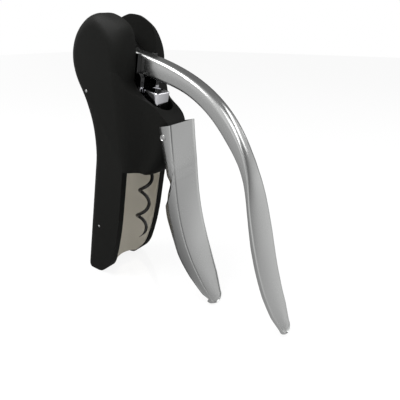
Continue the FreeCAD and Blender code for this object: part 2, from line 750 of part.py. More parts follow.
def crosshead():
    """Chromed block over the worm with a tongue between the racks."""
    body = new_body("crosshead")
    block = new_sketch(body, "XY_Plane", "block_plan", size("block_low_z"))
    half = size("block_half")
    add_box(block, size("block_back_x"), -half, size("block_front_x"), half)
    extrude(body, "Pad", block, "sizes.block_height")
    round_edges(body, 1.6, lambda e: abs(e.tangentAt(e.FirstParameter).z) > 0.9)
    round_edges(body, 0.8, lambda e: e.CenterOfMass.z > size("block_top_z") - 0.01)
    tongue = new_sketch(body, "XY_Plane", "tongue_plan", size("tongue_low_z"))
    half = size("tongue_half")
    add_box(tongue, size("tongue_x"), -half, size("block_back_x") + 3, half)
    extrude(body, "Pad", tongue, "sizes.tongue_height")
    bore = new_sketch(body, "XY_Plane", "bore")
    add_circle(bore, "worm_x", None, "spindle_hole")
    extrude(body, "Pocket", bore, None, symmetric=True)
    for name, start, depth in (("top_recess", size("block_top_z"), 1), ("low_recess", size("block_low_z"), -1)):
        recess = new_sketch(body, "XY_Plane", name + "_ring", start)
        add_circle(recess, "worm_x", None, "recess_radius")
        extrude(body, "Pocket", recess, "sizes." + name, reverse=(depth < 0))
    pin = new_sketch(body, "XZ_Plane", "pin_hole")
    pin.addGeometry(Part.Circle(Vector(size("rack_pin_x"), size("rack_pin_z"), 0), Vector(0, 0, 1),
                                size("rack_pin_radius") + size("shaft_fit")), False)
    extrude(body, "Pocket", pin, None, symmetric=True)
    return body


def ring(label, outer, inner, low, height):
    centre = Vector(size("worm_x"), 0, low)
    shape = Part.makeCylinder(outer, height, centre)
    if inner:
        shape = shape.cut(Part.makeCylinder(inner, height, centre))
    return solid(label, shape)


def carriage_pieces():
    low, top = size("block_low_z"), size("block_top_z")
    fit = size("shaft_fit")
    spindle = size("spindle_radius")
    washer_low = low + size("low_recess") - size("washer_wall") - 0.05
    clip_low = top - size("top_recess") + 0.05
    return [
        crosshead(),
        rack("left_rack", 1),
        rack("right_rack", -1),
        y_cylinder("rack_pin", "rack_pin_x", "rack_pin_z", "rack_pin_radius", "sector_outer"),
        ring("thrust_washer", size("recess_radius") - 0.2, spindle + fit, washer_low, size("washer_wall")),
        ring("spindle_clip", spindle + 1.8, spindle - 0.57, clip_low, size("clip_wall")),
        ring("spindle_cap", size("recess_radius") - 0.02, None, top - size("cap_wall") - 0.3, size("cap_wall")),
    ]


def worm_pieces():
    """Spindle with its boss and neck, and the worm's wire let into the boss."""
    x = size("worm_x")
    low = size("boss_low_z")
    block_low, block_top = size("block_low_z"), size("block_top_z")
    boss_top = block_low + size("low_recess") - size("washer_wall") - 0.15
    clip_low = block_top - size("top_recess") + 0.05
    radius = size("spindle_radius")
    end = clip_low + size("clip_wall") + 0.6
    shape = Part.makeCylinder(size("boss_radius"), boss_top - low, Vector(x, 0, low))
    shape = shape.fuse(Part.makeCylinder(radius, end - boss_top, Vector(x, 0, boss_top)))
    groove = Part.makeCylinder(radius + 1, size("clip_wall") + 0.1, Vector(x, 0, clip_low - 0.05))
    groove = groove.cut(Part.makeCylinder(radius - 0.6, size("clip_wall") + 0.1, Vector(x, 0, clip_low - 0.05)))
    shape = shape.cut(groove)
    socket = size("wire_socket")
    wire = worm_wire(low + socket + 1)
    wire = wire.cut(Part.makeCylinder(20, 40, Vector(x, 0, low + socket)))
    shape = shape.cut(helix_tube(low - 3, low + socket + 0.02, size("wire_radius") + size("shaft_fit")))
    return [solid("spindle", shape), solid("worm", wire)]


# Grip that closes round the bottle's neck

def grip_side():
    outer = spline([(3.6, 9.1), (6.4, -1.1), (11.3, -17.5), (16.7, -35.5), (22.4, -50.6), (30.7, -66.9),
                    (40.0, -81.1), (48.8, -93.1), (57.8, -105.3)])
    inner = [
        spline([(56.0, -105.9), (50.0, -103.6), (42.2, -97.1), (35.2, -89.7), (28.7, -82.4), (23.6, -74.6),
                (19.5, -66.6), (15.3, -59.0), (11.4, -51.3), (9.3, -44.5)]),
        line((9.3, -44.5), (10.4, -43.1)),
        line((10.4, -43.1), (9.9, -35.3)),
        line((9.9, -35.3), (11.5, -32.9)),
        arc((11.5, -32.9), (10.7, -27.8), (7.2, -23.4)),
        line((7.2, -23.4), (-4.4, 5.3)),
        line((-4.4, 5.3), (3.6, 9.1)),
    ]
    tip = arc((57.8, -105.3), (57.3, -106.2), (56.0, -105.9))
    return from_hinge([outer, tip] + inner, "grip_x", "grip_z")


def grip_hollow():
    """The channel between the two flanges, a wall's thickness behind the face."""
    wall = size("grip_wall")
    face = [(3.6, 11.1), (6.4, -1.1), (11.3, -17.5), (16.7, -35.5), (22.4, -50.6), (30.7, -66.9),
            (40.0, -81.1), (46.4, -90.5)]
    back = [(x - wall, z - wall * 0.4) for x, z in face]
    rest = polyline([back[-1], (2.4, -106.5), (-27.6, -36.5), (-17.6, 23.5), back[0]])
    return from_hinge([spline(back)] + rest, "grip_x", "grip_z")


def grip_handle():
    body = new_body("grip_solid")
    sketch = new_sketch(body, "XZ_Plane", "grip_side")
    add_outline(sketch, grip_side())
    extrude(body, "Pad", sketch, "2 * sizes.grip_half", symmetric=True)
    trim_width(body, GRIP_WIDTHS, size("grip_z"))
    hole = new_sketch(body, "XZ_Plane", "grip_pin_hole")
    hole.addGeometry(Part.Circle(Vector(size("grip_x"), size("grip_z"), 0), Vector(0, 0, 1),
                                 size("grip_pin_radius") + size("shaft_fit")), False)
    extrude(body, "Pocket", hole, None, symmetric=True)
    hollow = new_body("grip_hollow")
    inside = new_sketch(hollow, "XZ_Plane", "hollow_side")
    add_outline(inside, grip_hollow())
    extrude(hollow, "Pad", inside, "2 * (sizes.grip_half - sizes.grip_wall)", symmetric=True)
    widths = [(w - size("grip_wall"), z + size("grip_wall")) for w, z in GRIP_WIDTHS[:-1]]
    trim_width(hollow, widths + [(0, GRIP_WIDTHS[-1][1] + 2 * size("grip_wall"))], size("grip_z"))
    return boolean("Cut", "grip_handle", body, hollow)


# Standing the pieces up and writing them out

def lever_pieces():
    return [
        main_lever(),
        gear_sector("left_gear_sector", 1),
        gear_sector("right_gear_sector", -1),
        sector_rivets(),
        lever_bush(),
    ]


def stand_up(pieces):
    """Lean the whole forward and put its origin under the middle of its bounding box."""
    lean = Rotation(Vector(0, 1, 0), size("lean"))
    leaned = [turned(piece.Shape, lean) for piece in pieces]
    box = FreeCAD.BoundBox()
    for shape in leaned:
        box.add(shape.optimalBoundingBox(False))
    place = Placement(Vector(-box.Center.x, -box.Center.y, -box.ZMin), lean)
    for piece in pieces:
        piece.Placement = place
    return place


def turned(shape, rotation):
    result = shape.copy()
    result.Placement = Placement(Vector(), rotation).multiply(result.Placement)
    return result


def check_and_export(pieces):
    faults = [o.Name for o in doc.Objects if "Invalid" in o.State or "Error" in o.State]
    for piece in pieces:
        if piece.Shape.isNull() or not piece.Shape.isValid() or not piece.Shape.Solids:
            faults.append(piece.Label)
    if faults:
        raise RuntimeError("failed: " + ", ".join(faults))
    os.makedirs("parts", exist_ok=True)
    for piece in pieces:
        piece.Shape.exportStep("parts/%s.step" % piece.Label)


def print_pieces(pieces):
    for piece in pieces:
        box = piece.Shape.optimalBoundingBox(False)
        print("%-20s solids %d volume %8.0f  x %6.1f %6.1f y %6.1f %6.1f z %6.1f %6.1f" % (
            piece.Label, len(piece.Shape.Solids), piece.Shape.Volume, box.XMin, box.XMax,
            box.YMin, box.YMax, box.ZMin, box.ZMax))


PIECES = make_shells() + fixed_pieces() + lever_pieces() + carriage_pieces() + worm_pieces() + [grip_handle()]
stand_up(PIECES)
check_and_export(PIECES)
print_pieces(PIECES)
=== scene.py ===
import json
from math import atan2, cos, degrees, pi, radians, sin

import bmesh
import bpy
from bpy.props import FloatProperty, FloatVectorProperty, PointerProperty
from mathutils import Matrix, Vector


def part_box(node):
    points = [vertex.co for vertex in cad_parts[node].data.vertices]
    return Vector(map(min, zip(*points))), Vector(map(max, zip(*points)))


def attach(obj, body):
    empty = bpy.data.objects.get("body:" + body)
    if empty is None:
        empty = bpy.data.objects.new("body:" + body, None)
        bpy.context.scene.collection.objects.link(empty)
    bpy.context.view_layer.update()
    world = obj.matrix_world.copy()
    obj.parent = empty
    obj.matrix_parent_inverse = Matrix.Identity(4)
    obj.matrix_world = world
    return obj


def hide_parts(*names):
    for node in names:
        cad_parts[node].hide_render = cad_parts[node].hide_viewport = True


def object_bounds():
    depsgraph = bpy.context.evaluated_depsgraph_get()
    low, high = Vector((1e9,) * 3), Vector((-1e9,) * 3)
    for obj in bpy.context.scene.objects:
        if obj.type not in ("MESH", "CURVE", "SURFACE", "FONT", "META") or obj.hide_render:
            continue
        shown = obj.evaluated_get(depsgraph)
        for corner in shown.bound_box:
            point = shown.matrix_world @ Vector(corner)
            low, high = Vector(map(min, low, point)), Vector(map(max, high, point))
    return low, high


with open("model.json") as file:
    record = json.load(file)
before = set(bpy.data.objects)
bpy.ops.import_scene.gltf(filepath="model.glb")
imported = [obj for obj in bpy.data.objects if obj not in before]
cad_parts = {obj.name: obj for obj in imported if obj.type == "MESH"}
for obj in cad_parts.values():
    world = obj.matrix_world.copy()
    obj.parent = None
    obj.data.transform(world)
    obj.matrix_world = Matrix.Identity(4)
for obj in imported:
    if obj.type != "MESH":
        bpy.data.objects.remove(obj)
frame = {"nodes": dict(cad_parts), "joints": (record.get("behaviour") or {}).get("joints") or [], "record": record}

bl_info = {
    "name": "Lever corkscrew",
    "version": (1, 0, 0),
    "blender": (4, 5, 0),
    "location": "View3D > Sidebar > Corkscrew",
    "description": "Shells, lever, grip, worm, pins, finishes and studio of a lever corkscrew",
    "category": "Object",
}

CAD_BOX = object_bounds()
JOINTS = {joint["name"]: joint for joint in frame["joints"]}
NODE_BODY = {
    node: body for body, members in frame["record"]["behaviour"]["bodies"].items() for node in members}
NODE_SLOT = {part["node"]: part["material_slot"] for part in frame["record"]["subparts"]}

# The worm's axis, which every upright piece follows
UP = Vector(JOINTS["carriage_slide"]["axis"]).normalized()
FORWARD = Vector((0, 1, 0)).cross(UP)
AXIS_POINT = Vector(JOINTS["worm_spin"]["pos_m"])

# The worm's wire, in metres: its two ends from AXIS_POINT, its rise in one turn, and the height of
# its start and of the place where it stands at WORM_PHASE, both on the source's upright scale
WORM_LOW, WORM_HIGH = -0.064, 0.0136
WORM_PITCH = 0.022
WORM_START_Z, WORM_PHASE_Z = 0.036, 0.0644
WORM_PHASE = radians(45)

# Where painted shade starts and ends, in metres: the crosshead's top above AXIS_POINT, above which chrome
# is painted near-black, and the slot's side from the middle plane, inside which steel is painted near-black
BLOCK_TOP_SHADE_LINE = 0.0489
SLOT_SHADE_END, SLOT_PLAIN_START = 0.0095, 0.0105

# Edges steeper than this are rounded
SHARP = radians(32.0)

# What reflections see of the studio: (place, grey) from the floor up, and from light side to dark
SKY_LEVELS = ((0.0, 0.95), (0.20, 0.92), (0.30, 0.72), (0.42, 0.62), (0.55, 0.80), (0.72, 0.85), (1.0, 1.1))
SIDE_LEVELS = ((0.0, 0.95), (0.30, 0.80), (0.55, 0.62), (0.80, 0.26), (1.0, 0.15))
DARK_SIDE = (-0.26, 0.97, 0.0)

# What reflections see of the table: (place, grey) round the model, and away from it
ROUND_LEVELS = (
    (0.0, 0.45), (0.125, 0.50), (0.30, 0.70), (0.50, 0.95), (0.58, 0.92), (0.63, 0.74), (0.66, 0.50),
    (0.70, 0.20), (0.76, 0.10), (0.86, 0.28), (1.0, 0.45))
FAR_LEVELS = ((0.0, 0.45), (0.1, 0.60), (0.25, 0.85), (0.45, 1.0))

# The table: half its side in metres, its glow for the camera, and the share of its mirror image
TABLE_REACH = 3.0
TABLE_GLOW = 1.14
TABLE_POLISH = 0.42


# Sizes and colours that a user would change

class CorkscrewFinish(bpy.types.PropertyGroup):
    """Colours and edge sizes of the corkscrew."""
    shell_colour: FloatVectorProperty(
        name="Shell colour", description="Soft black of the two shells", subtype="COLOR", size=3,
        default=(0.0078, 0.0080, 0.0072), min=0, max=1)
    shell_edge: FloatProperty(
        name="Shell edge", description="Rounding along the shells' open edges", default=0.0006, unit="LENGTH")
    metal_colour: FloatVectorProperty(
        name="Lever metal", description="Satin metal of lever and grip", subtype="COLOR", size=3,
        default=(0.56, 0.565, 0.56), min=0, max=1)
    liner_colour: FloatVectorProperty(
        name="Liner steel", description="Steel that lines the neck chamber", subtype="COLOR", size=3,
        default=(0.66, 0.62, 0.53), min=0, max=1)
    worm_colour: FloatVectorProperty(
        name="Worm coating", description="Slick black coating of the worm", subtype="COLOR", size=3,
        default=(0.006, 0.0055, 0.005), min=0, max=1)
    fine_edge: FloatProperty(
        name="Small edge", description="Rounding of small machined pieces", default=0.0004, unit="LENGTH")


class LeverShape(bpy.types.PropertyGroup):
    """Sizes of the lever's blade and of the grip's folded sheet."""
    bar_edge: FloatProperty(
        name="Bar edge", description="Rounding of the bar's edges", default=0.0022, unit="LENGTH")
    blade_edge: FloatProperty(
        name="Blade edge", description="Rounding of the blade's rim", default=0.0005, unit="LENGTH")
    dish_depth: FloatProperty(
        name="Dish depth", description="Depth of the thumb's hollow in the blade", default=0.0021,
        unit="LENGTH")
    dish_rim: FloatProperty(
        name="Dish rim", description="Flat rim beside the hollow", default=0.0007, unit="LENGTH")
    sheet_wall: FloatProperty(
        name="Grip sheet", description="Thickness of the grip's metal", default=0.0015, unit="LENGTH")
    face_sink: FloatProperty(
        name="Face sink", description="How far the grip's face lies below its rims", default=0.0013,
        unit="LENGTH")


class StudioSettings(bpy.types.PropertyGroup):
    """Camera, lights and table."""
    camera_place: FloatVectorProperty(
        name="Camera place", description="Where the camera stands", subtype="TRANSLATION", size=3,
        unit="LENGTH", default=AXIS_POINT + Vector((0.17286, -0.18066, 0.08089)))
    camera_tilt: FloatProperty(
        name="Camera tilt", description="Angle up from straight down", subtype="ANGLE",
        default=radians(65.80))
    camera_turn: FloatProperty(
        name="Camera turn", description="Angle about the vertical", subtype="ANGLE", default=radians(35.59))
    camera_lens: FloatProperty(name="Lens", description="Focal length in millimetres", default=33.84)
    key_power: FloatProperty(
        name="Key power", description="Watts of the large soft light overhead", default=6.5)
    fill_power: FloatProperty(name="Fill power", description="Watts of the fill light", default=0.25)
    back_power: FloatProperty(name="Back power", description="Watts of the light behind", default=1.8)
    sky_level: FloatProperty(
        name="Sky level", description="Strength of the even light from all round", default=0.5)
    table_white: FloatProperty(
        name="Table white", description="Share of plain white in the table", default=0.77)


# Shader helpers

def new_material(name):
    """The slot's material, emptied and given a fresh shader."""
    material = bpy.data.materials.get(name) or bpy.data.materials.new(name)
    material.use_nodes = True
    tree = material.node_tree
    tree.nodes.clear()
    shader = tree.nodes.new("ShaderNodeBsdfPrincipled")
    output = tree.nodes.new("ShaderNodeOutputMaterial")
    tree.links.new(shader.outputs[0], output.inputs["Surface"])
    return material, tree, shader


def add_node(tree, kind, **inputs):
    """A node with its inputs set by name."""
    node = tree.nodes.new(kind)
    for name, value in inputs.items():
        node.inputs[name.replace("_", " ")].default_value = value
    return node


def maths(nodes, operation, kind="ShaderNodeMath"):
    """A number or vector node that does one operation."""
    node = nodes.new(kind)
    node.operation = operation
    return node


def colour_mix(nodes, multiply=False):
    """A mix of two colours, its inputs 6 and 7, or their full product."""
    node = nodes.new("ShaderNodeMix")
    node.data_type = "RGBA"
    if multiply:
        node.blend_type = "MULTIPLY"
        node.inputs["Factor"].default_value = 1.0
    return node


def grain_group():
    """Fine moulded or blasted grain: a height and a little unevenness of gloss."""
    group = bpy.data.node_groups.new("Fine grain", "ShaderNodeTree")
    for name, default in (("Grain size", 0.0004), ("Gloss", 0.5), ("Gloss change", 0.05)):
        socket = group.interface.new_socket(name=name, in_out="INPUT", socket_type="NodeSocketFloat")
        socket.default_value = default
    group.interface.new_socket(name="Height", in_out="OUTPUT", socket_type="NodeSocketFloat")
    group.interface.new_socket(name="Roughness", in_out="OUTPUT", socket_type="NodeSocketFloat")
    nodes, links = group.nodes, group.links
    inside = nodes.new("NodeGroupInput")
    outside = nodes.new("NodeGroupOutput")
    coords = nodes.new("ShaderNodeTexCoord")
    pitch = maths(nodes, "DIVIDE")
    pitch.inputs[0].default_value = 1.0
    fine = nodes.new("ShaderNodeTexNoise")
    fine.inputs["Detail"].default_value = 3.0
    broad = nodes.new("ShaderNodeTexNoise")
    broad.inputs["Scale"].default_value = 60.0
    broad.inputs["Detail"].default_value = 4.0
    spread = nodes.new("ShaderNodeMapRange")
    spread.inputs["To Min"].default_value = -1.0
    level = maths(nodes, "MULTIPLY_ADD")
    links.new(inside.outputs["Grain size"], pitch.inputs[1])
    links.new(pitch.outputs[0], fine.inputs["Scale"])
    links.new(coords.outputs["Object"], fine.inputs["Vector"])
    links.new(coords.outputs["Object"], broad.inputs["Vector"])
    links.new(broad.outputs["Fac"], spread.inputs["Value"])
    links.new(spread.outputs["Result"], level.inputs[0])
    links.new(inside.outputs["Gloss change"], level.inputs[1])
    links.new(inside.outputs["Gloss"], level.inputs[2])
    links.new(fine.outputs["Fac"], outside.inputs["Height"])
    links.new(level.outputs[0], outside.inputs["Roughness"])


def brushed_group():
    """Long fine scratches along one direction: a height, a gloss and a shade."""
    group = bpy.data.node_groups.new("Brushed lines", "ShaderNodeTree")
    for name, kind, default in (
            ("Along", "NodeSocketVector", (0.0, 0.0, 1.0)), ("Line width", "NodeSocketFloat", 0.00015),
            ("Gloss", "NodeSocketFloat", 0.3), ("Gloss change", "NodeSocketFloat", 0.1),
            ("Dark", "NodeSocketColor", (0.4, 0.4, 0.4, 1)),
            ("Light", "NodeSocketColor", (0.6, 0.6, 0.6, 1))):
        socket = group.interface.new_socket(name=name, in_out="INPUT", socket_type=kind)
        socket.default_value = default
    for name, kind in (
            ("Height", "NodeSocketFloat"), ("Roughness", "NodeSocketFloat"), ("Color", "NodeSocketColor")):
        group.interface.new_socket(name=name, in_out="OUTPUT", socket_type=kind)
    nodes, links = group.nodes, group.links
    inside = nodes.new("NodeGroupInput")
    outside = nodes.new("NodeGroupOutput")
    coords = nodes.new("ShaderNodeTexCoord")
    along = maths(nodes, "PROJECT", "ShaderNodeVectorMath")
    shorten = maths(nodes, "SCALE", "ShaderNodeVectorMath")
    shorten.inputs["Scale"].default_value = 0.985
    across = maths(nodes, "SUBTRACT", "ShaderNodeVectorMath")
    pitch = maths(nodes, "DIVIDE")
    pitch.inputs[0].default_value = 1.0
    lines = nodes.new("ShaderNodeTexNoise")
    lines.inputs["Detail"].default_value = 2.0
    cloud = nodes.new("ShaderNodeTexNoise")
    cloud.inputs["Scale"].default_value = 35.0
    both = maths(nodes, "ADD")
    level = nodes.new("ShaderNodeMapRange")
    level.inputs["From Min"].default_value = 0.6
    level.inputs["From Max"].default_value = 1.4
    level.inputs["To Min"].default_value = -1.0
    gloss = maths(nodes, "MULTIPLY_ADD")
    shade = colour_mix(nodes)
    links.new(coords.outputs["Object"], along.inputs[0])
    links.new(inside.outputs["Along"], along.inputs[1])
    links.new(along.outputs[0], shorten.inputs[0])
    links.new(coords.outputs["Object"], across.inputs[0])
    links.new(shorten.outputs[0], across.inputs[1])
    links.new(inside.outputs["Line width"], pitch.inputs[1])
    links.new(across.outputs[0], lines.inputs["Vector"])
    links.new(pitch.outputs[0], lines.inputs["Scale"])
    links.new(coords.outputs["Object"], cloud.inputs["Vector"])
    links.new(lines.outputs["Fac"], both.inputs[0])
    links.new(cloud.outputs["Fac"], both.inputs[1])
    links.new(both.outputs[0], level.inputs["Value"])
    links.new(level.outputs["Result"], gloss.inputs[0])
    links.new(inside.outputs["Gloss change"], gloss.inputs[1])
    links.new(inside.outputs["Gloss"], gloss.inputs[2])
    links.new(lines.outputs["Fac"], shade.inputs["Factor"])
    links.new(inside.outputs["Dark"], shade.inputs[6])
    links.new(inside.outputs["Light"], shade.inputs[7])
    links.new(lines.outputs["Fac"], outside.inputs["Height"])
    links.new(gloss.outputs[0], outside.inputs["Roughness"])
    links.new(shade.outputs[2], outside.inputs["Color"])


def grained(name, colour, gloss, grain=0.0004, depth=0.00002, change=0.05, specular=0.5):
    """A moulded or blasted finish."""
    _, tree, shader = new_material(name)
    use = tree.nodes.new("ShaderNodeGroup")
    use.node_tree = bpy.data.node_groups["Fine grain"]
    use.inputs["Grain size"].default_value = grain
    use.inputs["Gloss"].default_value = gloss
    use.inputs["Gloss change"].default_value = change
    bump = add_node(tree, "ShaderNodeBump", Strength=1.0, Distance=depth)
    shader.inputs["Base Color"].default_value = (*colour, 1)
    shader.inputs["Specular IOR Level"].default_value = specular
    tree.links.new(use.outputs["Height"], bump.inputs["Height"])
    tree.links.new(bump.outputs["Normal"], shader.inputs["Normal"])
    tree.links.new(use.outputs["Roughness"], shader.inputs["Roughness"])


def zone_group():
    """A mask that rises from one distance along an axis to another, the same on both sides of zero."""
    group = bpy.data.node_groups.new("Zone", "ShaderNodeTree")
    for name, kind in (("Axis", "NodeSocketVector"), ("From", "NodeSocketFloat"), ("To", "NodeSocketFloat")):
        group.interface.new_socket(name=name, in_out="INPUT", socket_type=kind)
    group.interface.new_socket(name="Mask", in_out="OUTPUT", socket_type="NodeSocketFloat")
    nodes, links = group.nodes, group.links
    inside = nodes.new("NodeGroupInput")
    outside = nodes.new("NodeGroupOutput")
    coords = nodes.new("ShaderNodeTexCoord")
    reach = maths(nodes, "DOT_PRODUCT", "ShaderNodeVectorMath")
    size = maths(nodes, "ABSOLUTE")
    mask = nodes.new("ShaderNodeMapRange")
    mask.interpolation_type = "SMOOTHSTEP"
    links.new(coords.outputs["Object"], reach.inputs[0])
    links.new(inside.outputs["Axis"], reach.inputs[1])
    links.new(reach.outputs["Value"], size.inputs[0])
    links.new(size.outputs[0], mask.inputs["Value"])
    links.new(inside.outputs["From"], mask.inputs["From Min"])
    links.new(inside.outputs["To"], mask.inputs["From Max"])
    links.new(mask.outputs["Result"], outside.inputs["Mask"])


def brushed(name, colour, gloss, along, line=0.00015, depth=0.000004, change=0.06, contrast=0.06,
            metallic=1.0, painted_shade_zone=None):
    """A brushed metal finish with its lines along one direction; painted_shade_zone is (axis, from, to, colour
    beyond), which changes the base colour by place to paint shade.
    """
    _, tree, shader = new_material(name)
    use = tree.nodes.new("ShaderNodeGroup")
    use.node_tree = bpy.data.node_groups["Brushed lines"]
    use.inputs["Along"].default_value = along
    use.inputs["Line width"].default_value = line
    use.inputs["Gloss"].default_value = gloss
    use.inputs["Gloss change"].default_value = change
    use.inputs["Dark"].default_value = (*[c * (1 - contrast) for c in colour], 1)
    use.inputs["Light"].default_value = (*[min(1, c * (1 + contrast)) for c in colour], 1)
    bump = add_node(tree, "ShaderNodeBump", Strength=1.0, Distance=depth)
    shader.inputs["Metallic"].default_value = metallic
    tree.links.new(use.outputs["Color"], shader.inputs["Base Color"])
    tree.links.new(use.outputs["Height"], bump.inputs["Height"])
    tree.links.new(bump.outputs["Normal"], shader.inputs["Normal"])
    tree.links.new(use.outputs["Roughness"], shader.inputs["Roughness"])
    # Painted shade: the base colour changes by place along the axis
    if painted_shade_zone:
        axis, start, stop, beyond = painted_shade_zone
        mask = tree.nodes.new("ShaderNodeGroup")
        mask.node_tree = bpy.data.node_groups["Zone"]
        mask.inputs["Axis"].default_value = axis
        mask.inputs["From"].default_value = start
        mask.inputs["To"].default_value = stop
        mix = colour_mix(tree.nodes)
        mix.inputs[7].default_value = (*beyond, 1)
        tree.links.new(mask.outputs["Mask"], mix.inputs["Factor"])
        tree.links.new(use.outputs["Color"], mix.inputs[6])
        tree.links.new(mix.outputs[2], shader.inputs["Base Color"])


def make_finishes(finish):
    """One material for each of the record's slots, named after the slot."""
    grain_group()
    brushed_group()
    zone_group()
    shade_line_height = AXIS_POINT.dot(UP) + BLOCK_TOP_SHADE_LINE
    lengthwise = (0.55, 0.0, -0.83)
    grained("black_shell", finish.shell_colour, 0.55, grain=0.0005, depth=0.00001, specular=0.10)
    brushed("satin_metal", finish.metal_colour, 0.24, lengthwise, line=0.0003, depth=0.000003, contrast=0.05)
    brushed("neck_steel", finish.liner_colour, 0.42, (0, 1, 0), change=0.04, metallic=0.5)
    # Painted shade: chrome above the crosshead's top turns near-black
    brushed("chrome", (0.70, 0.70, 0.73), 0.12, UP, change=0.03, contrast=0.02, depth=0.000001,
            painted_shade_zone=(UP, shade_line_height, shade_line_height + 0.0006, (0.055, 0.055, 0.055)))
    # Painted shade: steel inside the slot is near-black; beyond the slot's side it is plain grey
    brushed("machined_steel", (0.05, 0.05, 0.05), 0.34, (0, 1, 0),
            painted_shade_zone=((0, 1, 0), SLOT_SHADE_END, SLOT_PLAIN_START, (0.50, 0.50, 0.50)))
    brushed("bronze", (0.60, 0.42, 0.20), 0.36, (0, 1, 0))
    grained("black_worm", finish.worm_colour, 0.22, grain=0.0006, depth=0.000004, specular=0.5)
    grained("nut_plastic", (0.03, 0.03, 0.03), 0.42)


# Mesh helpers

def link(name, mesh, node, replaced=()):
    """Put a finished mesh in the scene, riding and replacing as the CAD node says."""
    item = bpy.data.objects.new(name, mesh)
    bpy.context.scene.collection.objects.link(item)
    mesh.materials.clear()
    mesh.materials.append(bpy.data.materials[NODE_SLOT[node]])
    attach(item, NODE_BODY[node])
    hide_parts(node, *replaced)
    return item


def eased_copy(node, edge, segments=2):
    """A welded copy of a CAD node whose sharp edges are rounded."""
    mesh = frame["nodes"][node].data.copy()
    weld = bmesh.new()
    weld.from_mesh(mesh)
    bmesh.ops.remove_doubles(weld, verts=weld.verts, dist=1e-6)
    bmesh.ops.dissolve_limit(weld, angle_limit=radians(0.6), verts=weld.verts, edges=weld.edges)
    weld.to_mesh(mesh)
    weld.free()
    mesh.shade_smooth()
    mesh.set_sharp_from_angle(angle=SHARP)
    item = link(node + "_finished", mesh, node)
    bevel = item.modifiers.new("eased", "BEVEL")
    bevel.width = edge
    bevel.segments = segments
    bevel.limit_method = "ANGLE"
    bevel.angle_limit = SHARP
    bevel.harden_normals = True
    bevel.use_clamp_overlap = True
    return item


# Shapes of lever and grip, in millimetres from their own hinges: forward, and up along the worm

LEVER_OUTER = [(9.0, 5.4), (20.8, 5.3), (45.1, 3.7), (69.4, -2.0), (86.7, -11.1), (99.8, -23.2),
               (109.8, -37.5), (117.9, -53.8), (128.3, -75.8), (135.5, -90.5), (146.3, -109.0),
               (161.9, -129.9)]
LEVER_INNER = [(9.0, -7.0), (36.3, -6.9), (57.3, -8.2), (77.3, -15.7), (91.7, -25.9), (105.7, -39.1),
               (115.9, -54.5), (125.9, -76.3), (132.9, -90.7), (143.6, -109.3), (160.6, -131.0)]
LEVER_HALVES = [(60.0, 5.6), (-26.5, 5.6), (-32.5, 5.9), (-40.9, 7.4), (-48.0, 9.2), (-55.0, 10.8),
                (-63.5, 11.8), (-75.5, 12.4), (-87.5, 12.2), (-104.5, 11.2), (-118.0, 9.3),
                (-127.5, 5.6), (-131.1, 0.0)]
GRIP_OUTER = [(3.6, 9.1), (6.4, -1.1), (11.3, -17.5), (16.7, -35.5), (22.4, -50.6), (30.7, -66.9),
              (40.0, -81.1), (48.8, -93.1), (57.8, -105.3)]
GRIP_FLANGE = [(9.3, -44.5), (11.4, -51.3), (15.3, -59.0), (19.5, -66.6), (23.6, -74.6), (28.7, -82.4),
               (35.2, -89.7), (42.2, -97.1), (50.0, -103.6), (56.6, -106.1)]
GRIP_NOTCH = [(-4.4, 5.3), (7.2, -23.4), (9.6, -25.8), (10.7, -27.8), (11.6, -30.4), (11.5, -32.9),
              (9.9, -35.3), (10.4, -43.1), (9.3, -44.5)]
GRIP_HALVES = [(20.0, 12.6), (-46.5, 12.6), (-64.5, 12.4), (-76.5, 11.6), (-90.5, 9.6), (-101.9, 6.2),
               (-105.6, 3.6), (-107.2, 0.0)]

# Forward of the lever's hinge: where the bar's edges thin, and its hollow widens and deepens
EDGE_RUN, WIDE_RUN, DEEP_RUN = (80.0, 118.0), (80.0, 106.0), (78.0, 108.0)
DISH_STEPS = 18          # steps across the hollow
ROUND_STEP = 18          # degrees between the points of a rounded edge
LEVER_TIP, GRIP_TIP = -127.0, -101.5    # heights below which the rounded tips start
TIP_STEPS, TIP_TURN = 14, 86            # stations of a tip, and the degrees they run through

# Turned pieces as (radius, side)
HUB_PROFILE = [(5.53, -5.2), (5.9, -5.6), (10.6, -5.6), (11.0, -5.2), (11.0, 5.2), (10.6, 5.6), (5.9, 5.6),
               (5.53, 5.2)]
RIVET_HEAD = [(0.0, -12.9), (0.9, -12.95), (1.15, -12.75), (1.35, -12.75), (1.6, -13.05), (1.9, -12.95),
              (2.0, -12.65), (1.5, -12.6)]

# The crown's fuller front: (degrees above forward, lift), the sides where its mesh is cut, and in
# metres the radius about the axle that stays and the sides between which the lift fades
CROWN_LIFT = [(106.0, 0.0), (92.0, 0.8), (77.0, 2.4), (62.0, 4.0), (50.0, 5.0), (41.0, 4.5), (29.0, 2.7),
              (19.0, 1.4), (5.0, 0.3), (-8.0, 0.0)]
CROWN_CUTS = (9.6, 10.6, 12.0, 13.5, 15.0, 16.5, 18.0, 19.5, 21.0)
CROWN_RADIUS = 0.0175
CROWN_FADE = (0.0085, 0.0205)


def smooth_line(points, count):
    """Evenly timed points on the natural cubic through the given ones, with chord lengths as its times."""
    size = len(points)
    times = [0.0]
    for a, b in zip(points, points[1:]):
        times.append(times[-1] + (Vector(b) - Vector(a)).length)
    results = []
    bends = [second_derivatives(times, [p[axis] for p in points]) for axis in (0, 1)]
    for k in range(count):
        t = times[-1] * k / (count - 1)
        i = min(max(j for j in range(size) if times[j] <= t + 1e-9), size - 2)
        step = times[i + 1] - times[i]
        a, b = (times[i + 1] - t) / step, (t - times[i]) / step
        results.append(tuple(
            a * points[i][axis] + b * points[i + 1][axis]
            + ((a ** 3 - a) * bends[axis][i] + (b ** 3 - b) * bends[axis][i + 1]) * step ** 2 / 6
            for axis in (0, 1)))
    return results


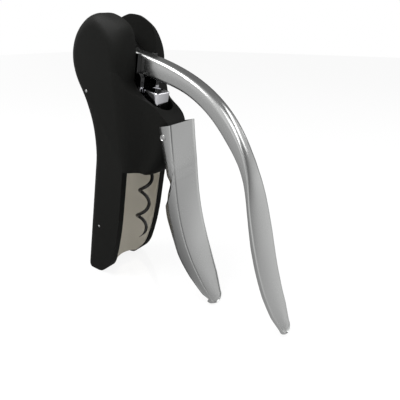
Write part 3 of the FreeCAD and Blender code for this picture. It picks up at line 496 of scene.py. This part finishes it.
def second_derivatives(times, values):
    """Second derivatives of a natural cubic at its points."""
    size = len(values)
    upper, right = [0.0] * size, [0.0] * size
    for i in range(1, size - 1):
        low, high = times[i] - times[i - 1], times[i + 1] - times[i]
        share = low / (low + high)
        pivot = share * upper[i - 1] + 2
        upper[i] = (share - 1) / pivot
        slope = (values[i + 1] - values[i]) / high - (values[i] - values[i - 1]) / low
        right[i] = (6 * slope / (low + high) - share * right[i - 1]) / pivot
    bends = [0.0] * size
    for i in range(size - 2, 0, -1):
        bends[i] = upper[i] * bends[i + 1] + right[i]
    return bends


def straight_line(points, count):
    """Evenly spaced points along straight runs, keeping every corner."""
    lengths = [(Vector(b) - Vector(a)).length for a, b in zip(points, points[1:])]
    result = []
    for (a, b), length in zip(zip(points, points[1:]), lengths):
        steps = max(1, round(count * length / sum(lengths)))
        result += [tuple(Vector(a).lerp(Vector(b), k / steps)) for k in range(steps)]
    return result + [points[-1]]


def between(table, level):
    """Value read off straight runs between (level, value) pairs, highest level first."""
    if level >= table[0][0]:
        return table[0][1]
    for (z1, v1), (z0, v0) in zip(table, table[1:]):
        if level >= z0:
            return v0 + (v1 - v0) * (level - z0) / (z1 - z0)
    return table[-1][1]


def at_place(points, place):
    """The point at a place between the counted ones."""
    k = min(int(place), len(points) - 2)
    return tuple(Vector(points[k]).lerp(Vector(points[k + 1]), place - k))


def ramp(value, low, high):
    """Smooth step from 0 to 1."""
    t = min(1.0, max(0.0, (value - low) / (high - low)))
    return t * t * (3 - 2 * t)


def from_hinge(joint, forward, side, up):
    """A point of the model from millimetres about a joint's own place."""
    place = Vector(JOINTS[joint]["pos_m"])
    return place + (FORWARD * forward + UP * up + Vector((0, side, 0))) / 1000


def loft(rings, creases=()):
    """A closed skin over equal rings of points; creases are the ring places whose lines stay sharp."""
    mesh = bmesh.new()
    rows = [[mesh.verts.new(point) for point in ring] for ring in rings]
    count = len(rows[0])
    for low, high in zip(rows, rows[1:]):
        for i in range(count):
            j = (i + 1) % count
            mesh.faces.new((low[i], low[j], high[j], high[i]))
    ends = [mesh.faces.new(rows[0][::-1]), mesh.faces.new(rows[-1])]
    bmesh.ops.recalc_face_normals(mesh, faces=mesh.faces)
    for face in mesh.faces:
        face.smooth = face not in ends
    sharp = set(creases)
    for low, high in zip(rows, rows[1:]):
        for i in sharp:
            edge = mesh.edges.get((low[i], high[i]))
            if edge:
                edge.smooth = False
    for face in ends:
        for edge in face.edges:
            edge.smooth = False
    result = bpy.data.meshes.new("loft")
    mesh.to_mesh(result)
    mesh.free()
    return result


def add_meshes(first, second):
    """Append the second mesh to the first."""
    joined = bmesh.new()
    joined.from_mesh(first)
    joined.from_mesh(second)
    joined.to_mesh(first)
    joined.free()
    bpy.data.meshes.remove(second)
    return first


def blade_section(half, thick, edge, dish, depth):
    """Section of the bar, round at its edges and hollow in its upper face, as (side, height) pairs."""
    edge = min(edge, half * 0.45, thick * 0.45)
    dish = min(dish, half - edge - 0.05)
    points = [(-half + edge, 0.0)]
    for k in range(DISH_STEPS + 1):
        side = -dish + 2 * dish * k / DISH_STEPS
        points.append((side, -depth * (1 - (side / dish) ** 2)))
    points.append((half - edge, 0.0))
    for turn in range(1, 6):
        angle = radians(90 - ROUND_STEP * turn)
        points.append((half - edge + edge * cos(angle), -edge + edge * sin(angle)))
    for turn in range(0, 6):
        angle = radians(-ROUND_STEP * turn)
        points.append((half - edge + edge * cos(angle), -thick + edge + edge * sin(angle)))
    for k in range(1, 8):
        points.append(((half - edge) * (1 - k / 4), -thick))
    for turn in range(0, 6):
        angle = radians(270 - ROUND_STEP * turn)
        points.append((-half + edge + edge * cos(angle), -thick + edge + edge * sin(angle)))
    for turn in range(0, 5):
        angle = radians(180 - ROUND_STEP * turn)
        points.append((-half + edge + edge * cos(angle), -edge + edge * sin(angle)))
    return points


def placed_ring(joint, outer, inner, section):
    """Lay a section between an outer and an inner point of a side outline."""
    down = Vector(inner) - Vector(outer)
    down.normalize()
    ring = []
    for side, height in section:
        ring.append(from_hinge(joint, outer[0] - down.x * height, side, outer[1] - down.y * height))
    return ring


def tip_stations(outer, inner, first, widest):
    """Stations that close a tip, its half width falling to nearly nothing along a quarter turn."""
    last = len(outer) - 1
    stations = []
    for step in range(1, TIP_STEPS + 1):
        angle = radians(TIP_TURN * step / TIP_STEPS)
        place = first + (last - first) * sin(angle)
        stations.append((at_place(outer, place), at_place(inner, place), widest * cos(angle)))
    return stations


def lever_mesh(shape):
    """Bar at the root, dished blade below, rounded tip, and the hub round the bush."""
    count = 400
    outer, inner = smooth_line(LEVER_OUTER, count), smooth_line(LEVER_INNER, count)
    body = [k for k in range(0, count, 3) if (outer[k][1] + inner[k][1]) / 2 > LEVER_TIP]
    stations = [(outer[k], inner[k], between(LEVER_HALVES, (outer[k][1] + inner[k][1]) / 2)) for k in body]
    stations += tip_stations(outer, inner, body[-1] + 1, stations[-1][2])
    rings = []
    for top, low, half in stations:
        thick = (Vector(top) - Vector(low)).length
        along = ramp(top[0], *EDGE_RUN)
        edge = 1000 * (shape.bar_edge + (shape.blade_edge - shape.bar_edge) * along)
        dish = max(half - edge - 1000 * shape.dish_rim, half * 0.5) * (0.55 + 0.45 * ramp(top[0], *WIDE_RUN))
        depth = 1000 * shape.dish_depth * ramp(top[0], *DEEP_RUN) * min(1.0, half / 8.0)
        depth = min(depth, thick * 0.55, half * 0.22)
        rings.append(placed_ring("lever_hinge", top, low, blade_section(half, thick, edge, dish, depth)))
    return add_meshes(loft(rings, creases=(1, DISH_STEPS + 1)), hub_mesh())


def hub_mesh():
    """Flat ring round the bush, with eased rims."""
    return turned("lever_hinge", HUB_PROFILE, steps=72)


def turned(joint, profile, steps):
    """A closed ring turned about the cross axis through a joint, from (radius, side) pairs."""
    mesh = bmesh.new()
    rows = []
    for k in range(steps):
        angle = 2 * pi * k / steps
        rows.append([mesh.verts.new(from_hinge(
            joint, radius * cos(angle), side, radius * sin(angle))) for radius, side in profile])
    for k, row in enumerate(rows):
        following = rows[(k + 1) % steps]
        for i in range(len(profile)):
            j = (i + 1) % len(profile)
            mesh.faces.new((row[i], row[j], following[j], following[i]))
    bmesh.ops.remove_doubles(mesh, verts=mesh.verts, dist=1e-7)
    bmesh.ops.recalc_face_normals(mesh, faces=mesh.faces)
    result = bpy.data.meshes.new("turned")
    mesh.to_mesh(result)
    mesh.free()
    result.shade_smooth()
    result.set_sharp_from_angle(angle=radians(30))
    return result


def sheet_section(half_face, half_edge, reach, wall, sink):
    """Folded sheet: hollow face between two rims, flanges reaching back, as (side, height) pairs."""
    rim = min(1.0, half_face * 0.25)
    ease = min(0.45, half_face * 0.1)
    step = min(0.3, sink)
    depth = max(reach, 0.3)
    inner = max(half_face - wall, half_face * 0.25)
    inner_edge = max(half_edge - wall, half_edge * 0.25)
    roof = -min(wall + sink, depth * 0.8)
    floor = half_face - rim - min(0.3, half_face * 0.05)
    corner = min(0.6, inner * 0.4, (depth + roof) * 0.4)
    right = [
        (floor, -step), (half_face - rim, -step * 0.2), (half_face - rim + 0.15, 0.0),
        (half_face - ease, 0.0),
        (half_face - ease * 0.3, -ease * 0.3), (half_face, -ease), (half_edge, -depth + ease * 0.5),
        (half_edge - ease * 0.5, -depth), (inner_edge + ease * 0.5, -depth),
        (inner_edge, -depth + ease * 0.5),
        (inner, roof - corner), (inner - corner, roof),
    ]
    face = []
    for k in range(1, 16):
        side = k / 8 - 1
        face.append((floor * side, -step - (sink - step) * (1 - side ** 2)))
    roofing = [((inner - corner) * (1 - k / 3), roof) for k in range(1, 6)]
    left = [(-side, height) for side, height in reversed(right)]
    return face + right + roofing + left


def grip_mesh(shape):
    """Folded grip: hollow face, two flanges with their notch, rounded lower end."""
    flange = straight_line(GRIP_NOTCH, 60)[:-1] + smooth_line(GRIP_FLANGE, 160)
    outer = smooth_line(GRIP_OUTER, len(flange))
    wall, sink = 1000 * shape.sheet_wall, 1000 * shape.face_sink
    body = [k for k in range(len(outer)) if outer[k][1] > GRIP_TIP]
    stations = [(outer[k], flange[k], between(GRIP_HALVES, outer[k][1])) for k in body]
    widest = stations[-1][2]
    stations += tip_stations(outer, flange, body[-1] + 1, widest)
    rings = []
    for face, edge, half in stations:
        reach = (Vector(face) - Vector(edge)).length
        depth = sink * (0.35 + 0.65 * ramp(-face[1], 5.0, 60.0)) * min(1.0, half / 9.0)
        lower = min(half, between(GRIP_HALVES, edge[1])) if half > widest else half
        rings.append(placed_ring("grip_hinge", face, edge, sheet_section(half, lower, reach, wall, depth)))
    return loft(rings)


def crowned(mesh, side):
    """Fill out the front of a cheek's crown towards the slot, where the outline is fullest."""
    axle = Vector(JOINTS["lever_hinge"]["pos_m"])
    cut = bmesh.new()
    cut.from_mesh(mesh)
    for width in CROWN_CUTS:
        bmesh.ops.bisect_plane(
            cut, geom=cut.verts[:] + cut.edges[:] + cut.faces[:], dist=1e-7,
            plane_co=(0, side * width / 1000, 0), plane_no=(0, 1, 0))
    for vert in cut.verts:
        arm = vert.co - axle
        forward, up = arm.dot(FORWARD), arm.dot(UP)
        reach = (forward ** 2 + up ** 2) ** 0.5
        if reach < CROWN_RADIUS:
            continue
        amount = between(CROWN_LIFT, degrees(atan2(up, forward)))
        amount *= 1 - ramp(abs(vert.co.y), *CROWN_FADE)
        direction = (FORWARD * forward + UP * up) / reach
        vert.co += direction * amount / 1000
    cut.to_mesh(mesh)
    cut.free()


# Geometry Nodes: the worm's wire and the domed pins

def node_tree(name, sizes):
    """A geometry tree with one named length input for each size."""
    tree = bpy.data.node_groups.new(name, "GeometryNodeTree")
    tree.interface.new_socket(name="Geometry", in_out="INPUT", socket_type="NodeSocketGeometry")
    for label, value in sizes.items():
        socket = tree.interface.new_socket(name=label, in_out="INPUT", socket_type="NodeSocketFloat")
        socket.default_value = value
    tree.interface.new_socket(name="Material", in_out="INPUT", socket_type="NodeSocketMaterial")
    tree.interface.new_socket(name="Geometry", in_out="OUTPUT", socket_type="NodeSocketGeometry")
    return tree, tree.nodes.new("NodeGroupInput"), tree.nodes.new("NodeGroupOutput")


def finish_tree(tree, inside, outside, shape):
    """Realize, give the material, and hand the shape out."""
    real = tree.nodes.new("GeometryNodeRealizeInstances")
    paint = tree.nodes.new("GeometryNodeSetMaterial")
    tree.links.new(shape, real.inputs[0])
    tree.links.new(real.outputs[0], paint.inputs["Geometry"])
    tree.links.new(inside.outputs["Material"], paint.inputs["Material"])
    tree.links.new(paint.outputs[0], outside.inputs[0])


def wire_tree():
    """A wire wound on a helix, pointed at its lower end."""
    tree, inside, outside = node_tree("Wound wire", {
        "Coil radius": 0.0039, "Wire radius": 0.00125, "Turns": 3.5, "Height": 0.0776, "Point share": 0.085})
    nodes, links = tree.nodes, tree.links
    spiral = nodes.new("GeometryNodeCurveSpiral")
    spiral.inputs["Resolution"].default_value = 64
    spiral.inputs["Reverse"].default_value = True
    thin = nodes.new("GeometryNodeSetCurveRadius")
    along = nodes.new("GeometryNodeSplineParameter")
    taper = nodes.new("ShaderNodeMapRange")
    taper.interpolation_type = "SMOOTHERSTEP"
    taper.inputs["To Min"].default_value = 0.16
    ring = nodes.new("GeometryNodeCurvePrimitiveCircle")
    ring.inputs["Resolution"].default_value = 20
    sweep = nodes.new("GeometryNodeCurveToMesh")
    sweep.inputs["Fill Caps"].default_value = True
    links.new(inside.outputs["Turns"], spiral.inputs["Rotations"])
    links.new(inside.outputs["Coil radius"], spiral.inputs["Start Radius"])
    links.new(inside.outputs["Coil radius"], spiral.inputs["End Radius"])
    links.new(inside.outputs["Height"], spiral.inputs["Height"])
    links.new(spiral.outputs[0], thin.inputs["Curve"])
    links.new(along.outputs["Factor"], taper.inputs["Value"])
    links.new(inside.outputs["Point share"], taper.inputs["From Max"])
    links.new(taper.outputs["Result"], thin.inputs["Radius"])
    links.new(inside.outputs["Wire radius"], ring.inputs["Radius"])
    links.new(thin.outputs[0], sweep.inputs["Curve"])
    links.new(ring.outputs[0], sweep.inputs["Profile Curve"])
    radius = nodes.new("GeometryNodeInputRadius")
    links.new(radius.outputs[0], sweep.inputs["Scale"])
    finish_tree(tree, inside, outside, sweep.outputs[0])
    return tree


def pin_tree():
    """A round pin with low domed ends, lying along Y."""
    tree, inside, outside = node_tree("Domed pin", {"Radius": 0.001, "Half length": 0.022, "Dome": 0.0003})
    nodes, links = tree.nodes, tree.links
    body = nodes.new("GeometryNodeMeshCylinder")
    body.inputs["Vertices"].default_value = 32
    body.inputs["Fill Segments"].default_value = 1
    ball = nodes.new("GeometryNodeMeshUVSphere")
    ball.inputs["Segments"].default_value = 32
    ball.inputs["Rings"].default_value = 12
    double = maths(nodes, "MULTIPLY")
    double.inputs[1].default_value = 2.0
    flatter = maths(nodes, "DIVIDE")
    squash = nodes.new("ShaderNodeCombineXYZ")
    squash.inputs["X"].default_value = 1.0
    squash.inputs["Y"].default_value = 1.0
    ends = nodes.new("GeometryNodeMeshLine")
    ends.mode = "END_POINTS"
    ends.inputs["Count"].default_value = 2
    start, stop = nodes.new("ShaderNodeCombineXYZ"), nodes.new("ShaderNodeCombineXYZ")
    minus = maths(nodes, "MULTIPLY")
    minus.inputs[1].default_value = -1.0
    spots = nodes.new("GeometryNodeInstanceOnPoints")
    both = nodes.new("GeometryNodeJoinGeometry")
    lay = nodes.new("GeometryNodeTransform")
    lay.inputs["Rotation"].default_value = (pi / 2, 0, 0)
    links.new(inside.outputs["Radius"], body.inputs["Radius"])
    links.new(inside.outputs["Half length"], double.inputs[0])
    links.new(double.outputs[0], body.inputs["Depth"])
    links.new(inside.outputs["Radius"], ball.inputs["Radius"])
    links.new(inside.outputs["Dome"], flatter.inputs[0])
    links.new(inside.outputs["Radius"], flatter.inputs[1])
    links.new(flatter.outputs[0], squash.inputs["Z"])
    links.new(inside.outputs["Half length"], minus.inputs[0])
    links.new(minus.outputs[0], start.inputs["Z"])
    links.new(inside.outputs["Half length"], stop.inputs["Z"])
    links.new(start.outputs[0], ends.inputs["Start Location"])
    links.new(stop.outputs[0], ends.inputs["Offset"])
    links.new(ends.outputs[0], spots.inputs["Points"])
    links.new(ball.outputs["Mesh"], spots.inputs["Instance"])
    links.new(squash.outputs[0], spots.inputs["Scale"])
    links.new(body.outputs["Mesh"], both.inputs[0])
    links.new(spots.outputs[0], both.inputs[0])
    links.new(both.outputs[0], lay.inputs["Geometry"])
    finish_tree(tree, inside, outside, lay.outputs[0])
    return tree


def grown_mesh(tree, slot, sizes, place):
    """Plain mesh that a geometry tree makes, moved to its place."""
    holder = bpy.data.objects.new("holder", bpy.data.meshes.new("holder"))
    bpy.context.scene.collection.objects.link(holder)
    modifier = holder.modifiers.new("shape", "NODES")
    modifier.node_group = tree
    for socket in tree.interface.items_tree:
        if socket.in_out == "INPUT" and socket.name in sizes:
            modifier[socket.identifier] = sizes[socket.name]
        if socket.in_out == "INPUT" and socket.name == "Material":
            modifier[socket.identifier] = bpy.data.materials[slot]
    graph = bpy.context.evaluated_depsgraph_get()
    mesh = bpy.data.meshes.new_from_object(holder.evaluated_get(graph))
    bpy.data.objects.remove(holder)
    mesh.transform(place)
    return mesh


# Operators, one for each piece or group

class CORKSCREW_OT_finishes(bpy.types.Operator):
    """Make the materials and give every CAD node its own"""
    bl_idname = "corkscrew.finishes"
    bl_label = "Finishes"

    def execute(self, context):
        make_finishes(context.scene.corkscrew_finish)
        for name, item in frame["nodes"].items():
            item.data.materials.clear()
            item.data.materials.append(bpy.data.materials[NODE_SLOT[name]])
        return {"FINISHED"}


class CORKSCREW_OT_shells(bpy.types.Operator):
    """Crown the cheeks and ease the open edges of the two shells"""
    bl_idname = "corkscrew.shells"
    bl_label = "Shells"

    def execute(self, context):
        for node, side in (("left_shell", 1), ("right_shell", -1)):
            item = eased_copy(node, context.scene.corkscrew_finish.shell_edge, segments=3)
            crowned(item.data, side)
        return {"FINISHED"}


class CORKSCREW_OT_lever(bpy.types.Operator):
    """Make the main lever: bar, dished blade and hub"""
    bl_idname = "corkscrew.lever"
    bl_label = "Main lever"

    def execute(self, context):
        link("lever_blade", lever_mesh(context.scene.corkscrew_lever), "main_lever")
        return {"FINISHED"}


class CORKSCREW_OT_grip(bpy.types.Operator):
    """Make the folded grip and its rivet"""
    bl_idname = "corkscrew.grip"
    bl_label = "Grip"

    def execute(self, context):
        link("grip_sheet", grip_mesh(context.scene.corkscrew_lever), "grip_handle")
        profile = RIVET_HEAD + [(radius, -side) for radius, side in reversed(RIVET_HEAD)]
        link("grip_rivet", turned("grip_hinge", profile, steps=40), "grip_pivot_pin")
        return {"FINISHED"}


class CORKSCREW_OT_worm(bpy.types.Operator):
    """Wind the worm's wire with its pointed end"""
    bl_idname = "corkscrew.worm"
    bl_label = "Worm"

    def execute(self, context):
        first = WORM_PHASE + 2 * pi * (WORM_START_Z - WORM_PHASE_Z) / WORM_PITCH
        basis = Matrix((FORWARD, Vector((0, 1, 0)), UP)).transposed().to_4x4()
        place = Matrix.Translation(AXIS_POINT + UP * WORM_LOW) @ basis @ Matrix.Rotation(first, 4, "Z")
        height = WORM_HIGH - WORM_LOW
        sizes = {"Turns": height / WORM_PITCH, "Height": height}
        mesh = grown_mesh(wire_tree(), NODE_SLOT["worm"], sizes, place)
        mesh.shade_smooth()
        link("worm_wire", mesh, "worm")
        return {"FINISHED"}


class CORKSCREW_OT_pins(bpy.types.Operator):
    """Set the domed pins through the shells and the crosshead"""
    bl_idname = "corkscrew.pins"
    bl_label = "Pins"

    def execute(self, context):
        tree = pin_tree()
        for node, dome in (("neck_pin", 0.0003), ("leg_pin", 0.0003), ("rack_pin", 0.0002)):
            low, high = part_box(node)
            centre = (Vector(low) + Vector(high)) / 2
            sizes = {"Radius": (high[2] - low[2]) / 2, "Half length": (high[1] - low[1]) / 2, "Dome": dome}
            mesh = grown_mesh(tree, NODE_SLOT[node], sizes, Matrix.Translation(centre))
            mesh.shade_smooth()
            mesh.set_sharp_from_angle(angle=radians(35))
            link(node + "_domed", mesh, node)
        return {"FINISHED"}


class CORKSCREW_OT_machined(bpy.types.Operator):
    """Ease the edges of the small machined pieces"""
    bl_idname = "corkscrew.machined"
    bl_label = "Machined pieces"

    def execute(self, context):
        for node in ("crosshead", "left_rack", "right_rack", "left_gear_sector", "right_gear_sector"):
            eased_copy(node, context.scene.corkscrew_finish.fine_edge)
        return {"FINISHED"}


class CORKSCREW_OT_studio(bpy.types.Operator):
    """Make the table, the lights and the camera"""
    bl_idname = "corkscrew.studio"
    bl_label = "Studio"

    def execute(self, context):
        settings = context.scene.corkscrew_studio
        make_world(settings.sky_level)
        make_table(settings.table_white)
        centre = (CAD_BOX[0] + CAD_BOX[1]) / 2
        soft_light("key", settings.key_power, 0.45, Vector((-0.15, -0.25, 0.85)), centre)
        soft_light("fill", settings.fill_power, 0.5, Vector((0.2, -0.8, 0.35)), centre)
        soft_light("back", settings.back_power, 0.5, Vector((0.55, 0.60, 0.60)), centre)
        camera = bpy.data.objects.new("camera", bpy.data.cameras.new("camera"))
        camera.data.lens = settings.camera_lens
        camera.data.clip_start = 0.01
        camera.location = settings.camera_place
        camera.rotation_euler = (settings.camera_tilt, 0, settings.camera_turn)
        context.scene.collection.objects.link(camera)
        context.scene.camera = camera
        context.scene.view_settings.view_transform = "Standard"
        return {"FINISHED"}


def soft_light(name, power, width, place, target):
    """A square area light that faces the target."""
    lamp = bpy.data.lights.new(name, "AREA")
    lamp.energy = power
    lamp.size = width
    item = bpy.data.objects.new(name, lamp)
    item.location = place
    item.rotation_euler = (target - place).to_track_quat("-Z", "Y").to_euler()
    bpy.context.scene.collection.objects.link(item)


def make_world(level):
    """Even light from all round, a studio gradient in the metal, and white where the sky itself is seen."""
    world = bpy.data.worlds.new("studio")
    world.use_nodes = True
    bpy.context.scene.world = world
    tree = world.node_tree
    links = tree.links
    tree.nodes.clear()
    path = tree.nodes.new("ShaderNodeLightPath")
    seen = maths(tree.nodes, "MAXIMUM")
    coords = tree.nodes.new("ShaderNodeTexCoord")
    split = tree.nodes.new("ShaderNodeSeparateXYZ")
    height = tree.nodes.new("ShaderNodeMapRange")
    height.inputs["From Min"].default_value = -0.2
    height.inputs["From Max"].default_value = 1.0
    sky = value_ramp(tree, SKY_LEVELS)
    sideways = maths(tree.nodes, "DOT_PRODUCT", "ShaderNodeVectorMath")
    sideways.inputs[1].default_value = DARK_SIDE
    dim = value_ramp(tree, SIDE_LEVELS)
    both = colour_mix(tree.nodes, multiply=True)
    plain = colour_mix(tree.nodes)
    plain.inputs[6].default_value = (level, level, level, 1)
    white = colour_mix(tree.nodes)
    white.inputs[7].default_value = (1, 1, 1, 1)
    background = tree.nodes.new("ShaderNodeBackground")
    output = tree.nodes.new("ShaderNodeOutputWorld")
    links.new(coords.outputs["Generated"], split.inputs[0])
    links.new(split.outputs["Z"], height.inputs["Value"])
    links.new(height.outputs["Result"], sky.inputs["Fac"])
    links.new(path.outputs["Is Glossy Ray"], plain.inputs["Factor"])
    links.new(coords.outputs["Generated"], sideways.inputs[0])
    links.new(sideways.outputs["Value"], dim.inputs["Fac"])
    links.new(sky.outputs["Color"], both.inputs[6])
    links.new(dim.outputs["Color"], both.inputs[7])
    links.new(both.outputs[2], plain.inputs[7])
    links.new(path.outputs["Is Camera Ray"], seen.inputs[0])
    links.new(path.outputs["Is Transmission Ray"], seen.inputs[1])
    links.new(seen.outputs[0], white.inputs["Factor"])
    links.new(plain.outputs[2], white.inputs[6])
    links.new(white.outputs[2], background.inputs["Color"])
    links.new(background.outputs[0], output.inputs["Surface"])


def value_ramp(tree, stops):
    """A ramp of greys from (place, level) pairs."""
    ramp_node = tree.nodes.new("ShaderNodeValToRGB")
    while len(ramp_node.color_ramp.elements) < len(stops):
        ramp_node.color_ramp.elements.new(0.5)
    for element, (place, level) in zip(ramp_node.color_ramp.elements, stops):
        element.position = place
        element.color = (level, level, level, 1)
    return ramp_node


def make_table(whiteness):
    """A white table with a soft shadow and a faint mirror image; reflections see set greys instead."""
    mesh = bpy.data.meshes.new("table")
    corners = [(x * TABLE_REACH, y * TABLE_REACH, 0) for x, y in ((-1, -1), (1, -1), (1, 1), (-1, 1))]
    mesh.from_pydata(corners, [], [(0, 1, 2, 3)])
    table = bpy.data.objects.new("table", mesh)
    bpy.context.scene.collection.objects.link(table)
    material, tree, shader = new_material("white_table")
    links = tree.links
    shader.inputs["Base Color"].default_value = (0.85, 0.85, 0.85, 1)
    shader.inputs["Roughness"].default_value = 0.6
    shader.inputs["Specular IOR Level"].default_value = 0.0
    mirror = add_node(tree, "ShaderNodeBsdfGlossy", Roughness=0.04)
    mirror.inputs["Color"].default_value = (1, 1, 1, 1)
    polish = add_node(tree, "ShaderNodeMixShader", Fac=TABLE_POLISH)
    white = add_node(tree, "ShaderNodeEmission", Strength=TABLE_GLOW)
    seen = tree.nodes.new("ShaderNodeLightPath")
    share = maths(tree.nodes, "MULTIPLY")
    share.inputs[1].default_value = whiteness
    mix = tree.nodes.new("ShaderNodeMixShader")
    coords = tree.nodes.new("ShaderNodeTexCoord")
    turn = tree.nodes.new("ShaderNodeTexGradient")
    turn.gradient_type = "RADIAL"
    away = maths(tree.nodes, "LENGTH", "ShaderNodeVectorMath")
    round_level = value_ramp(tree, ROUND_LEVELS)
    far_level = value_ramp(tree, FAR_LEVELS)
    seen_level = colour_mix(tree.nodes, multiply=True)
    in_metal = tree.nodes.new("ShaderNodeEmission")
    choose = tree.nodes.new("ShaderNodeMixShader")
    links.new(coords.outputs["Object"], turn.inputs[0])
    links.new(coords.outputs["Object"], away.inputs[0])
    links.new(turn.outputs["Fac"], round_level.inputs["Fac"])
    links.new(away.outputs["Value"], far_level.inputs["Fac"])
    links.new(round_level.outputs["Color"], seen_level.inputs[6])
    links.new(far_level.outputs["Color"], seen_level.inputs[7])
    links.new(seen_level.outputs[2], in_metal.inputs["Color"])
    links.new(shader.outputs[0], polish.inputs[1])
    links.new(mirror.outputs[0], polish.inputs[2])
    links.new(seen.outputs["Is Camera Ray"], share.inputs[0])
    links.new(share.outputs[0], mix.inputs[0])
    links.new(seen.outputs["Is Glossy Ray"], choose.inputs[0])
    links.new(polish.outputs[0], choose.inputs[1])
    links.new(in_metal.outputs[0], choose.inputs[2])
    links.new(choose.outputs[0], mix.inputs[1])
    links.new(white.outputs[0], mix.inputs[2])
    links.new(mix.outputs[0], tree.nodes["Material Output"].inputs["Surface"])
    mesh.materials.append(material)


class CORKSCREW_PT_panel(bpy.types.Panel):
    """Buttons that make the corkscrew piece by piece"""
    bl_label = "Lever corkscrew"
    bl_idname = "CORKSCREW_PT_panel"
    bl_space_type = "VIEW_3D"
    bl_region_type = "UI"
    bl_category = "Corkscrew"

    def draw(self, context):
        scene = context.scene
        for group in (scene.corkscrew_finish, scene.corkscrew_lever, scene.corkscrew_studio):
            for name in group.bl_rna.properties.keys():
                if name not in ("rna_type", "name"):
                    self.layout.prop(group, name)
        for step in STEPS:
            self.layout.operator(step.bl_idname)


STEPS = (
    CORKSCREW_OT_finishes,
    CORKSCREW_OT_shells,
    CORKSCREW_OT_lever,
    CORKSCREW_OT_grip,
    CORKSCREW_OT_worm,
    CORKSCREW_OT_pins,
    CORKSCREW_OT_machined,
    CORKSCREW_OT_studio,
)
CLASSES = (CorkscrewFinish, LeverShape, StudioSettings) + STEPS + (CORKSCREW_PT_panel,)


def register():
    """Add the classes and the three groups of settings."""
    for item in CLASSES:
        bpy.utils.register_class(item)
    bpy.types.Scene.corkscrew_finish = PointerProperty(type=CorkscrewFinish)
    bpy.types.Scene.corkscrew_lever = PointerProperty(type=LeverShape)
    bpy.types.Scene.corkscrew_studio = PointerProperty(type=StudioSettings)


def unregister():
    """Take away what register added."""
    del bpy.types.Scene.corkscrew_studio
    del bpy.types.Scene.corkscrew_lever
    del bpy.types.Scene.corkscrew_finish
    for item in reversed(CLASSES):
        bpy.utils.unregister_class(item)


def main():
    """Run every step."""
    register()
    for step in STEPS:
        group, name = step.bl_idname.split(".")
        getattr(getattr(bpy.ops, group), name)()


if __name__ == "__main__":
    main()
